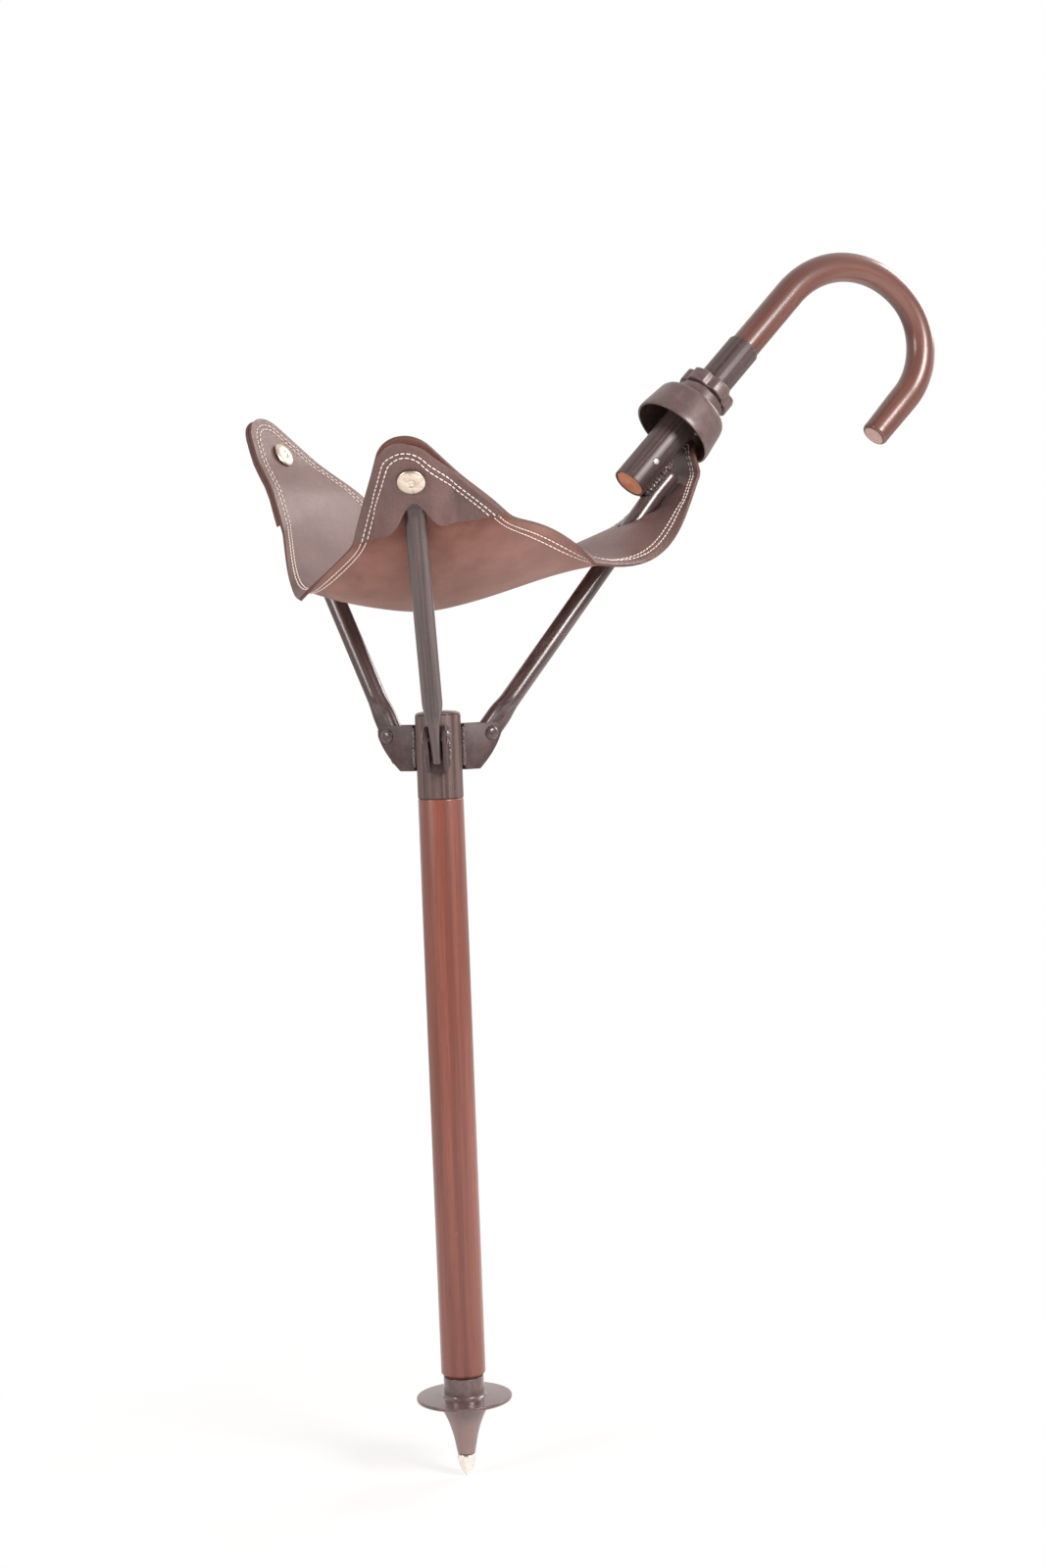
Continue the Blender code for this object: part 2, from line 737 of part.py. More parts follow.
def snap_place(side):
    """Where a corner's snap is: in the pattern, and up the arm."""
    return SEAT_SNAP[side], HANDLE_SNAP if side == "handle" else SNAP_REACH


def on_arm(side, x, y):
    """A pattern point as (up the arm, across it): each corner is turned a little about its snap."""
    snap, reach = snap_place(side)
    c, s = math.cos(FLAP_TURN[side]), math.sin(FLAP_TURN[side])
    y = y * FLAP_WIDTH[side] + FLAP_SHIFT[side]
    return reach + (x - snap) * c + y * s, y * c - (x - snap) * s


def strip_point(side, x, y):
    """A corner of the sling, where it lies along its arm."""
    hinge, along, away, across = arm_frame(side)
    t, v = on_arm(side, x, y)
    if side == "handle":
        lift = ARM_X + ARM_R + SEAT_LAY + GAP - TUCK * smooth(HANDLE_ARM_TOP + DRAPE, CUP_RIM, t)
    else:
        lift = -arm_clear(t)
    return hinge + along * t + away * lift + across * v


def half_width(x):
    """Half the pattern's width, from the middle of one side out to a corner."""
    return (SEAT_APEX - x) / math.sqrt(3)


def spine_point(side, x):
    """The line of the sling from its centre up to where it meets its arm."""
    start = STRIP_START[side]
    foot = strip_point(side, start, 0.0)
    reach = np.linalg.norm(foot - SEAT_CENTRE) / 3
    arrive = unit(TURN[side]) + UP * SPINE_ARRIVE[side]
    a = SEAT_CENTRE
    b = SEAT_CENTRE + (unit(TURN[side]) + UP * SPINE_SLOPE[side]) * reach
    c = foot - arrive / np.linalg.norm(arrive) * reach
    s = x / start
    return (1 - s) ** 3 * a + 3 * s * (1 - s) ** 2 * b + 3 * s * s * (1 - s) * c + s**3 * foot


def border_point(side, sign, x):
    """The limit of one corner's third of the sling: out to the dip in its edge, then up the edge."""
    edge = EDGES[side][sign]
    turn = math.radians(DIP_TURN[edge])
    dip = SEAT_CENTRE + unit(turn) * DIP_REACH[edge] + UP * DIP_RISE[edge]
    middle = SEAT_INRADIUS / 2
    if x <= middle:
        share = x / middle
        return SEAT_CENTRE + unit(turn) * DIP_REACH[edge] * share + UP * DIP_RISE[edge] * share**DIP_POWER
    start, step = STRIP_START[side], 0.01 * STRIP_START[side]
    foot = strip_point(side, start, sign * half_width(start))
    run, climb, hold = EDGE_RUN[side][edge]
    slope = (strip_point(side, start + step, sign * half_width(start + step)) - foot) * hold / step
    leave = (unit(turn - sign * math.pi / 2) + UP * climb) * run * 2 / math.sqrt(3)
    span = start - middle
    s = (x - middle) / span
    rise = s * s * (3 - 2 * s)
    return (
        dip * (1 - rise) + foot * rise
        + leave * span * s * (1 - s) ** 2 - slope * span * s * s * (1 - s)
    )


def seat_point(side, x, y):
    """A parabola across the corner's third, from border to border through its spine."""
    if x >= STRIP_START[side]:
        return strip_point(side, x, y)
    spine = spine_point(side, x)
    if x <= 0:
        return spine
    left, right = border_point(side, 1, x), border_point(side, -1, x)
    share = y / min(math.sqrt(3) * x, half_width(x))
    return spine + (left - right) / 2 * share + ((left + right) / 2 - spine) * share**2


def flat_point(i, j):
    """The pattern's third that holds one corner: (0, 0) is the centre, the last is the rounded tip."""
    u, v = (i / SEAT_CELLS) ** SEAT_CROWDING, (j / SEAT_CELLS) ** SEAT_CROWDING
    side = SEAT_INRADIUS / 2
    x = side * (u + v) + 2 * side * u * v
    y = math.sqrt(3) * side * (u - v)
    centre = SEAT_APEX - 2 * SEAT_CORNER_R
    far = math.hypot(x - centre, y)
    if x > centre + SEAT_CORNER_R / 2 and far > SEAT_CORNER_R:
        return centre + (x - centre) * SEAT_CORNER_R / far, y * SEAT_CORNER_R / far
    return x, y


seat_bm = bmesh.new()
held = seat_bm.verts.layers.int.new("held")
for side in TURN:
    grid = []
    for i in range(SEAT_CELLS + 1):
        row = []
        for j in range(SEAT_CELLS + 1):
            x, y = flat_point(i, j)
            row.append(seat_bm.verts.new(seat_point(side, x, y)))
            row[-1][held] = x >= STRIP_START[side]
        grid.append(row)
    for low, high in zip(grid, grid[1:]):
        for corners in zip(low, high, high[1:], low[1:]):
            seat_bm.faces.new(corners)
bmesh.ops.remove_doubles(seat_bm, verts=seat_bm.verts, dist=0.00001)
free = [vert for vert in seat_bm.verts if not vert[held] and not vert.is_boundary]
for _ in range(RELAX_STEPS):
    bmesh.ops.smooth_vert(
        seat_bm, verts=free, factor=0.5, use_axis_x=True, use_axis_y=True, use_axis_z=True
    )
seat = place(mesh_from("seat_sheet", seat_bm), parts, leather)
thicken(seat)


# Pockets: a second layer over each plain corner, with an arch where the arm goes in
def in_pattern(side, t, v):
    """The pattern point at t up the arm and v across it."""
    snap, reach = snap_place(side)
    c, s = math.cos(FLAP_TURN[side]), math.sin(FLAP_TURN[side])
    y = v * c + (t - reach) * s
    return snap + (t - reach) * c - v * s, (y - FLAP_SHIFT[side]) / FLAP_WIDTH[side]


def pocket_hem(side, v):
    snap, reach = snap_place(side)
    c, s = math.cos(FLAP_TURN[side]), math.sin(FLAP_TURN[side])
    straight = reach + (POCKET_HEM - snap + v * s) / c
    return straight + POCKET_ARCH_RISE * math.exp(-((v / POCKET_ARCH_WIDTH) ** 2))


def inside(side, t, v):
    x, y = in_pattern(side, t, v)
    centre = SEAT_APEX - 2 * SEAT_CORNER_R
    if x > centre + SEAT_CORNER_R / 2:
        return math.hypot(x - centre, y) < SEAT_CORNER_R
    return abs(y) < half_width(x)


def last_inside(test, low, high):
    """How far from low towards high the test still holds."""
    for _ in range(30):
        middle = (low + high) / 2
        if test(middle):
            low = middle
        else:
            high = middle
    return low


def pocket_tip(side, v):
    return last_inside(lambda t: inside(side, t, v), pocket_hem(side, v), 2 * SNAP_REACH)


def pocket_side(side, sign):
    return last_inside(lambda v: inside(side, pocket_hem(side, v), v), 0.0, sign * SEAT_INRADIUS)


def pocket_point(t, v):
    """In the arm's own frame."""
    near = LEATHER + GAP + 0.15 * DRAPE - arm_clear(t)
    over = 1 - smooth(POCKET_FLAT, POCKET_RISE_WIDTH, abs(v))
    end = ARM_LENGTH + POCKET_POINT_SHARE * POCKET_FLAT + POCKET_EASE
    over *= 1 - smooth(end, end + POCKET_CLOSE, t + POCKET_POINT_SHARE * abs(v))
    return near + (arm_clear(t) - near) * over, v, t


for side in ("front", "left"):
    columns = [0.0]
    for sign in (1, -1):
        far = POCKET_INSET_SHARE * pocket_side(side, sign)
        bump = [0.5 * POCKET_FLAT]
        bump += [POCKET_FLAT + (POCKET_RISE_WIDTH - POCKET_FLAT) * k / 3 for k in range(4)]
        columns += [sign * v for v in bump]
        columns += [sign * POCKET_RISE_WIDTH + (far - sign * POCKET_RISE_WIDTH) * k / 4 for k in range(1, 5)]
    columns.sort()
    bm = bmesh.new()
    grid = []
    for v in columns:
        low, high = pocket_hem(side, v), pocket_tip(side, v)
        ts = [low + (high - low) * j / POCKET_ROWS for j in range(POCKET_ROWS + 1)]
        grid.append([bm.verts.new(pocket_point(t, v)) for t in ts])
    for low, high in zip(grid, grid[1:]):
        for corners in zip(low, high, high[1:], low[1:]):
            bm.faces.new(corners)
    pocket = place(mesh_from("pocket_" + side, bm), parts, leather, parent=hinges[side])
    thicken(pocket)

# Snaps: domed nickel heads on both faces of each plain corner, and one blind rivet on the handle arm
dome = [
    (0, 0.62 * SNAP_DOME),
    (0.28 * SNAP_R, 0.62 * SNAP_DOME),
    (0.36 * SNAP_R, SNAP_DOME),
    (0.60 * SNAP_R, SNAP_DOME),
    (0.84 * SNAP_R, 0.72 * SNAP_DOME),
    (0.97 * SNAP_R, 0.32 * SNAP_DOME),
    (SNAP_R, 0),
]
ridge = [on_arm("front", *flat_point(i, i))[0] for i in range(SEAT_CELLS + 1)]
lie = np.interp(SNAP_REACH - SNAP_R, ridge, [arm_clear(t) for t in ridge])
SNAP_FACE = arm_clear(SNAP_REACH - SNAP_R) + LEATHER / 2 + GAP
SNAP_INNER = lie + LEATHER / 2 + 2 * GAP
for side in ("front", "left"):
    hole = place(
        cylinder("snap_hole_" + side, SNAP_HOLE_R, 4 * SNAP_FACE),
        cutters,
        parent=hinges[side],
        location=(0, 0, SNAP_REACH),
        rotation=(0, math.radians(90), 0),
    )
    for name in ("arm_", "pocket_"):
        cut(parts.objects[name + side], hole)
    cut(seat, hole)
    grip = GAP - SNAP_FACE - SNAP_INNER
    shank = [(SNAP_SHANK_R, 0), (SNAP_SHANK_R, grip), (0, grip)]
    place(
        turned("snap_post_" + side, dome + shank, SMALL_STEPS),
        parts,
        nickel,
        parent=hinges[side],
        location=(SNAP_FACE, 0, SNAP_REACH),
        rotation=(0, math.radians(90), 0),
    )
    place(
        turned("snap_cap_" + side, dome + [(0, 0)], SMALL_STEPS),
        parts,
        nickel,
        parent=hinges[side],
        location=(-SNAP_INNER, 0, SNAP_REACH),
        rotation=(0, math.radians(-90), 0),
    )
HANDLE_FACE = ARM_X + ARM_R + SEAT_LAY + LEATHER / 2 + 2 * GAP
hole = place(
    cylinder("snap_hole_handle", SNAP_HOLE_R, 2 * (HANDLE_FACE - ARM_X)),
    cutters,
    parent=handle,
    location=(HANDLE_FACE, 0, HANDLE_SNAP),
    rotation=(0, math.radians(90), 0),
)
cut(parts.objects["arm_handle"], hole)
cut(seat, hole)
shank = [(SNAP_SHANK_R, 0), (SNAP_SHANK_R, ARM_X - HANDLE_FACE + GAP), (0, ARM_X - HANDLE_FACE + GAP)]
place(
    turned("snap_post_handle", dome + shank, SMALL_STEPS),
    parts,
    nickel,
    parent=handle,
    location=(HANDLE_FACE, 0, HANDLE_SNAP),
    rotation=(0, math.radians(90), 0),
)

# The slot that lets the handle arm come up through the sling
slot_at = bend_at + SLOT_PAST_BEND - SLOT_LENGTH / 2
arm_slot = place(
    cylinder("arm_slot", ARM_R + SLOT_FIT, SLOT_LENGTH, ARM_SIDES),
    cutters,
    parent=handle,
    location=(
        -slot_at * math.sin(ARM_LEAN),
        0,
        slot_at * math.cos(ARM_LEAN),
    ),
    rotation=(0, -ARM_LEAN, 0),
)
cut(seat, arm_slot)
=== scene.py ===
# %% [markdown]
# A walking-stick seat. The real thing is a wooden stick with a spike at its foot. Three steel arms hinge
# on its head and hold up a leather sling, and one of them carries a crook handle. The solids of the part
# are packed already, so this script loads them as a fixed frame in metres and dresses every piece with a
# finer shape and a finish. A finer shape stands in for its solid, and moves with the same body.

# %% Load the frame
import math

import bmesh
import bpy
import numpy as np
from mathutils import Matrix, Vector
from mathutils.bvhtree import BVHTree
from mathutils.geometry import barycentric_transform


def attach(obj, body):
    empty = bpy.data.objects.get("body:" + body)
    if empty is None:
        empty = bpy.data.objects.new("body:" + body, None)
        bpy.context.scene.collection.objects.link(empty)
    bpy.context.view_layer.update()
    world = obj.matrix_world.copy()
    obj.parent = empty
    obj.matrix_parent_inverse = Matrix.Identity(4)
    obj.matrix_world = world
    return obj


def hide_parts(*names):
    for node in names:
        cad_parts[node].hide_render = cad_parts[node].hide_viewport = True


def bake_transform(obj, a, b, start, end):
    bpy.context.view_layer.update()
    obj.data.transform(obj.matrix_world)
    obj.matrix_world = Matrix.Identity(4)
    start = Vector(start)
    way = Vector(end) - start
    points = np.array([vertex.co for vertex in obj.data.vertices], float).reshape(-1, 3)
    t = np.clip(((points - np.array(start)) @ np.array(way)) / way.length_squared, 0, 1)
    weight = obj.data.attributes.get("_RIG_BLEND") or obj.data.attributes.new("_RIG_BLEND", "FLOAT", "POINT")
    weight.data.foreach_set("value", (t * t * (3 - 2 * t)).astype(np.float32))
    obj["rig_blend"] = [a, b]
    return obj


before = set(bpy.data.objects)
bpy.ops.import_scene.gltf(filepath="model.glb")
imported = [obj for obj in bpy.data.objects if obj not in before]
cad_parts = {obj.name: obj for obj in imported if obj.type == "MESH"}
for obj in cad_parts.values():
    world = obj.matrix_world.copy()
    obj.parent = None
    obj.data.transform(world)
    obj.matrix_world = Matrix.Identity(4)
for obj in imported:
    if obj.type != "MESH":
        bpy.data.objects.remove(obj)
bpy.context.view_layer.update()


# %% [markdown]
# The camera comes first, because everything else is judged through it. The picture was taken from the
# front left, a little below the seat, with the stick tipped slightly in the frame. A camera is an
# object whose local -Z looks forward, so its matrix is built from three directions: right, up and back.

# %% Camera
PHOTO_HEIGHT_PX = 1600
FOCAL_PX = 2557
SENSOR_HEIGHT = 24.0
VIEW_AZIMUTH = math.radians(-28.6)
VIEW_PITCH = math.radians(3.0)
VIEW_ROLL = math.radians(2.16)
AIM_HEIGHT = 0.4344
AIM_RIGHT = 0.0510
VIEW_DISTANCE = 1.5564

UP = Vector((0, 0, 1))
view_right = Vector((math.cos(VIEW_AZIMUTH), math.sin(VIEW_AZIMUTH), 0))
view_near = Vector((math.sin(VIEW_AZIMUTH), -math.cos(VIEW_AZIMUTH), 0))
view_back = view_near * math.cos(VIEW_PITCH) + UP * math.sin(VIEW_PITCH)
view_up = UP * math.cos(VIEW_PITCH) - view_near * math.sin(VIEW_PITCH)
camera_at = UP * AIM_HEIGHT + view_right * AIM_RIGHT + view_back * VIEW_DISTANCE

camera_data = bpy.data.cameras.new("photo_camera")
camera_data.sensor_fit = "VERTICAL"
camera_data.sensor_height = SENSOR_HEIGHT
camera_data.lens = FOCAL_PX / PHOTO_HEIGHT_PX * SENSOR_HEIGHT
camera = bpy.data.objects.new("photo_camera", camera_data)
tipped_right = view_right * math.cos(VIEW_ROLL) - view_up * math.sin(VIEW_ROLL)
tipped_up = view_right * math.sin(VIEW_ROLL) + view_up * math.cos(VIEW_ROLL)
camera_turn = Matrix((tipped_right, tipped_up, view_back)).transposed().to_4x4()
camera.matrix_world = Matrix.Translation(camera_at) @ camera_turn
scene = bpy.context.scene
scene.collection.objects.link(camera)
scene.camera = camera
scene.view_settings.view_transform = "Standard"
print("camera at", tuple(round(value, 3) for value in camera_at), "lens", round(camera_data.lens, 2), "mm")

# %% [markdown]
# Shader sums read best as sums. Math nodes could be made and linked one by one, but a mask would then take
# ten lines. A small class wraps one output socket and turns +, - and * into Math nodes instead, so that a
# mask can be written as 1 - grain * 0.5.


# %% Sockets that can be added and multiplied
class Wire:
    """One output socket that takes part in sums."""

    def __init__(self, finish, socket):
        self.finish = finish
        self.socket = socket

    def math(self, operation, first, second):
        return self.finish.node("ShaderNodeMath", {"operation": operation}, {0: first, 1: second})

    def __add__(self, other):
        return self.math("ADD", self, other)

    def __radd__(self, other):
        return self.math("ADD", other, self)

    def __sub__(self, other):
        return self.math("SUBTRACT", self, other)

    def __rsub__(self, other):
        return self.math("SUBTRACT", other, self)

    def __mul__(self, other):
        return self.math("MULTIPLY", self, other)

    def __rmul__(self, other):
        return self.math("MULTIPLY", other, self)


print("a socket takes part in sums by +, - and *")

# %% [markdown]
# A node tree is the drawing that a shader follows. One method makes, sets and wires any node, so that no
# node takes more than a line, and the mixes that are used most have methods of their own.


# %% A tree of nodes
class Tree:
    """A node tree, and the one method through which its nodes are made."""

    def __init__(self, tree):
        self.tree = tree

    def feed(self, socket, value):
        if isinstance(value, Wire):
            self.tree.links.new(value.socket, socket)
        else:
            socket.default_value = value

    def node(self, kind, settings, inputs, output=0):
        made = self.tree.nodes.new(kind)
        for key, value in settings.items():
            if key != "stops":
                setattr(made, key, value)
                continue
            for index, (place, level) in enumerate(value):
                stop = made.color_ramp.elements[index] if index < 2 else made.color_ramp.elements.new(place)
                stop.position = place
                stop.color = (level, level, level, 1)
        for key, value in inputs.items():
            self.feed(made.inputs[key], value)
        return Wire(self, made.outputs[output])

    def ray(self, kind):
        """1 for one kind of ray, 0 for the others."""
        return self.node("ShaderNodeLightPath", {}, {}, "Is " + kind + " Ray")

    def blend(self, mask, first, second):
        """A colour between two others."""
        return self.node("ShaderNodeMix", {"data_type": "RGBA"}, {0: mask, 6: first, 7: second}, 2)

    def eased(self, value, start, stop, first, last):
        """A smooth step from one level to another as the value goes from start to stop."""
        sockets = {"Value": value, "From Min": start, "From Max": stop, "To Min": first, "To Max": last}
        return self.node("ShaderNodeMapRange", {"interpolation_type": "SMOOTHSTEP"}, sockets)


print("a tree makes its nodes by one method,", Tree.node.__name__)

# %% [markdown]
# A finish is a material with one Principled shader. A picture could colour it, but pictures stretch and
# repeat, so every finish here is worked out from noise. The noise is laid by an attribute of the piece,
# in metres, so that it keeps its size and stays put when the piece moves.


# %% Finishes and colours
class Finish(Tree):
    """A material with one Principled shader. The slot argument is kept but not used."""

    def __init__(self, name, slot, **constants):
        self.slot = slot
        self.material = bpy.data.materials.new(name)
        self.material.use_nodes = True
        super().__init__(self.material.node_tree)
        self.shader = self.tree.nodes["Principled BSDF"]
        for key, value in constants.items():
            self.shader.inputs[key.replace("_", " ").title().replace("Ior", "IOR")].default_value = value

    def lay(self, stretch):
        """The piece's own lay, metres along each axis, stretched for a texture."""
        stretch = stretch if isinstance(stretch, tuple) else (stretch,) * 3
        place = self.node("ShaderNodeAttribute", {"attribute_name": "lay"}, {}, "Vector")
        return self.node("ShaderNodeVectorMath", {"operation": "MULTIPLY"}, {0: place, 1: stretch})

    def metres(self, axis):
        """The lay along one axis."""
        return self.node("ShaderNodeSeparateXYZ", {}, {"Vector": self.lay(1)}, axis)

    def noise(self, stretch, detail=3.0, roughness=0.55):
        sockets = {"Vector": self.lay(stretch), "Scale": 1.0, "Detail": detail, "Roughness": roughness}
        return self.node("ShaderNodeTexNoise", {}, sockets)

    def pebbles(self, size, feature="F1"):
        sockets = {"Vector": self.lay(1 / size), "Scale": 1.0}
        return self.node("ShaderNodeTexVoronoi", {"feature": feature}, sockets)

    def ramp(self, value, *stops):
        return self.node("ShaderNodeValToRGB", {"stops": stops}, {"Fac": value})

    def mask(self, value, low, high):
        """0 up to the low level, 1 from the high one on."""
        return self.ramp(value, (low, 0), (high, 1))

    def bump(self, height, depth):
        """Relief of a real depth, in metres."""
        normal = self.node("ShaderNodeBump", {}, {"Height": height, "Distance": depth, "Strength": 1.0})
        self.feed(self.shader.inputs["Normal"], normal)

    def paint(self, base, *coats):
        """A screen colour, and coats of others over it, each by its mask."""
        colour = tint(*base)
        for mask, shade in coats:
            colour = self.blend(mask, colour, tint(*shade))
        self.feed(self.shader.inputs["Base Color"], colour)

    def rough(self, roughness):
        self.feed(self.shader.inputs["Roughness"], roughness)


def tint(red, green, blue):
    """A screen colour of 0 to 255 as the linear colour that a shader takes."""
    shares = [value / 255 for value in (red, green, blue)]
    return (*[s / 12.92 if s <= 0.04045 else ((s + 0.055) / 1.055) ** 2.4 for s in shares], 1.0)


print("a mid brown is", tuple(round(value, 3) for value in tint(140, 92, 82)))

# %% [markdown]
# The stage is plain: a white world, a pale floor and three soft lamps. A white room hides its own shape,
# so the world has a level for each kind of ray. The camera sees plain white. Gathered light gets less, so
# that colours come out about as they are written. Mirror rays see a room that is dark on the camera's
# side and bright behind, which draws dark cores and light edges on glossy tubes.

# %% The white room
WHITE = (1.0, 1.0, 1.0, 1.0)
WARM = (1.0, 0.93, 0.90, 1.0)
AMBIENT = 0.46
DARK_SIDE = 0.28
BRIGHT_UNTIL = -0.35
DARK_FROM = 0.80

world = bpy.data.worlds.new("white_room")
scene.world = world
world.use_nodes = True
room = Tree(world.node_tree)
heading = room.node("ShaderNodeTexCoord", {}, {}, "Generated")
towards = {0: heading, 1: tuple(view_near)}
towards = room.node("ShaderNodeVectorMath", {"operation": "DOT_PRODUCT"}, towards, "Value")
mirror = room.eased(towards, BRIGHT_UNTIL, DARK_FROM, 1.0, DARK_SIDE)
glossy = room.ray("Glossy")
seen = room.ray("Camera")
level = mirror * glossy + (1 - glossy) * AMBIENT
sky = world.node_tree.nodes["Background"]
room.feed(sky.inputs["Color"], room.blend(seen, WARM, WHITE))
room.feed(sky.inputs["Strength"], seen + (1 - seen) * level)
print("room: gathered light", AMBIENT, "and mirrored light from", DARK_SIDE, "to 1")

# %% [markdown]
# The floor only has to catch the shadow at the spike. A bent backdrop would do that too, but a flat sheet
# is enough here: it is lit near the spike and fades to plain white further out, so it has no horizon. A
# bmesh is a mesh that a script can edit, and one function turns it into an object of the scene.

# %% Floor
FLOOR_SIZE = 12.0
FLOOR_DROP = 0.0004
FLOOR_GLOW = 0.70
FADE_FROM = 0.06
FADE_TO = 0.40


def as_object(name, bm):
    """An object of the scene with the mesh, which is let go."""
    data = bpy.data.meshes.new(name)
    bm.to_mesh(data)
    bm.free()
    made = bpy.data.objects.new(name, data)
    scene.collection.objects.link(made)
    return made


floor_bm = bmesh.new()
bmesh.ops.create_grid(floor_bm, x_segments=1, y_segments=1, size=FLOOR_SIZE / 2)
floor = as_object("floor", floor_bm)
floor.location.z = -FLOOR_DROP
pale = Finish("pale_floor", None, base_color=(0.93, 0.93, 0.93, 1), roughness=0.9)
floor_spot = pale.node("ShaderNodeNewGeometry", {}, {}, "Position")
from_stick = pale.node("ShaderNodeVectorMath", {"operation": "LENGTH"}, {0: floor_spot}, "Value")
fade = pale.eased(from_stick, FADE_FROM, FADE_TO, FLOOR_GLOW, 1.0) * pale.ray("Camera")
glow = pale.node("ShaderNodeEmission", {}, {})
matt = Wire(pale, pale.shader.outputs[0])
floor_look = pale.node("ShaderNodeMixShader", {}, {0: fade, 1: matt, 2: glow})
pale.feed(pale.tree.nodes["Material Output"].inputs["Surface"], floor_look)
floor.data.materials.append(pale.material)
print("floor:", FLOOR_SIZE, "m wide, lit within", FADE_TO, "m of the spike")

# %% [markdown]
# The picture has soft light from the right, a weaker one from the left and some from behind, as from wide
# studio lamps. A sky texture would light it too evenly, so three round area lamps stand about the seat,
# placed by the camera's own directions and turned to face the seat.

# %% Lamps
# Each lamp: metres right, up and near from the seat, its width, its power
LAMPS = {
    "key_lamp": (1.20, 0.60, 1.10, 0.7, 32),
    "fill_lamp": (-1.30, 0.40, 0.95, 0.7, 14),
    "back_lamp": (1.30, 0.75, -0.95, 0.8, 14),
}
seat_middle = Vector((0, 0, 0.55))
for name, (right, up, near, width, power) in LAMPS.items():
    lamp_data = bpy.data.lights.new(name, "AREA")
    lamp_data.shape = "DISK"
    lamp_data.size = width
    lamp_data.energy = power
    lamp_data.color = WARM[:3]
    lamp = bpy.data.objects.new(name, lamp_data)
    lamp.location = seat_middle + view_right * right + UP * up + view_near * near
    lamp.rotation_euler = (lamp.location - seat_middle).to_track_quat("Z", "Y").to_euler()
    scene.collection.objects.link(lamp)
print("lamps:", ", ".join(LAMPS))

# %% [markdown]
# Varnished wood. The stick is a red brown and the crook a duller one, both with long fine streaks and
# small dark pores under a gloss coat. Streaks follow the grain, so each wooden piece carries an attribute
# named lay: metres across and along the grain. Noise that is squeezed along it gives the fibres. The sawn
# end in the tube is bare and orange. The crook's own end is painted pale, as a painted reflection of the
# white room.

# %% Wood finishes
def varnished(name, dark, light, deep):
    """Stained wood: bands between two tones, fibres of a deeper one, pores and a few pale scuffs."""
    finish = Finish(name, "varnished_wood", coat_weight=0.65, coat_roughness=0.20, specular_ior_level=0.4)
    fibre = finish.noise((1100, 1100, 22), 4.0, 0.6)
    band = finish.mask(finish.noise((150, 150, 3.5), 3.0), 0.34, 0.66)
    pore = finish.ramp(finish.noise((1900, 1900, 70), 2.0), (0.30, 1), (0.38, 0))
    scuff = finish.mask(finish.noise((95, 95, 60), 5.0, 0.7), 0.70, 0.74)
    coats = [(band, light), (finish.mask(fibre, 0.35, 0.65) * 0.45, deep)]
    finish.paint(dark, *coats, (pore * 0.45, (70, 34, 28)), (scuff * 0.55, (176, 130, 116)))
    finish.rough(0.34 + fibre * 0.08 + scuff * 0.2)
    finish.bump(fibre * 0.3 - pore * 0.5, 0.00002)
    return finish


wood = varnished("varnished_wood", (100, 50, 40), (134, 76, 62), (92, 43, 34))
bent_wood = varnished("bent_wood", (84, 50, 43), (118, 77, 67), (74, 42, 36))

raw_wood = Finish("raw_wood_end", "varnished_wood", roughness=0.75)
ring = raw_wood.noise(420, 4.0, 0.6)
heart = raw_wood.mask(raw_wood.noise(120, 2.0), 0.38, 0.66)
raw_wood.paint((188, 108, 76), (heart, (232, 152, 112)), (ring * 0.5, (244, 190, 158)))
raw_wood.bump(ring, 0.0002)

# Painted reflection: the crook's end face is painted pale, for the white room that it reflects
end_wood_painted_reflection = Finish("crook_end", "varnished_wood", coat_weight=0.4, coat_roughness=0.3, roughness=0.45)
end_wood_painted_reflection.paint((170, 130, 124), (end_wood_painted_reflection.noise(700, 3.0), (206, 172, 166)))
print("finishes:", [finish.material.name for finish in (wood, bent_wood, raw_wood, end_wood_painted_reflection)])

# %% [markdown]
# Black paint and black plastic. The arms are dipped in gloss enamel, which runs a little and shows long
# reflections, so it has a clear coat and a slow ripple. The head tube, the brackets and the handle tube
# have thinner, duller paint that was brushed one way, so one function makes all three. The cup, the grip
# ring and the plug are satin plastic, greyed by handling. The ground disc is glossier, and its cone is
# painted paler towards the bottom: painted light, as bounced up from the floor.

# %% Black finishes
# Heights on the cone: the painted floor light is full below the first and gone above the second
BOUNCE_PAINT_FULL = 0.034
BOUNCE_PAINT_GONE = 0.049

enamel = Finish("black_enamel", "black_paint", coat_weight=0.45, coat_roughness=0.16)
ripple = enamel.noise((260, 260, 130), 2.0)
drag = enamel.noise((750, 750, 9), 3.0, 0.6)
dust = enamel.mask(enamel.noise(1500, 2.0), 0.66, 0.72)
wear = enamel.mask(enamel.noise(170, 5.0, 0.7), 0.60, 0.70)
coats = [(enamel.mask(drag, 0.36, 0.64), (87, 70, 69)), (wear * 0.3, (112, 88, 85))]
enamel.paint((49, 39, 39), *coats, (dust * 0.5, (150, 138, 134)))
enamel.rough(0.28 + wear * 0.2 + dust * 0.2)
enamel.bump(ripple + drag * 0.03 + dust * 0.1, 0.00008)


def coated(name, stretch, dark, light, gloss):
    """Thin, plainer paint: brushed one way by the stretch, with small bright chips."""
    finish = Finish(name, "black_paint", coat_weight=0.2, coat_roughness=gloss, specular_ior_level=0.4)
    brush = finish.noise(stretch, 3.0, 0.6)
    chip = finish.mask(finish.noise(900, 3.0, 0.6), 0.66, 0.70)
    finish.paint(dark, (finish.mask(brush, 0.36, 0.64), light), (chip * 0.4, (176, 150, 144)))
    finish.rough(1.2 * gloss + brush * 0.1 - chip * 0.1)
    finish.bump(brush * 0.1 + chip * 0.5, 0.00008)
    return finish


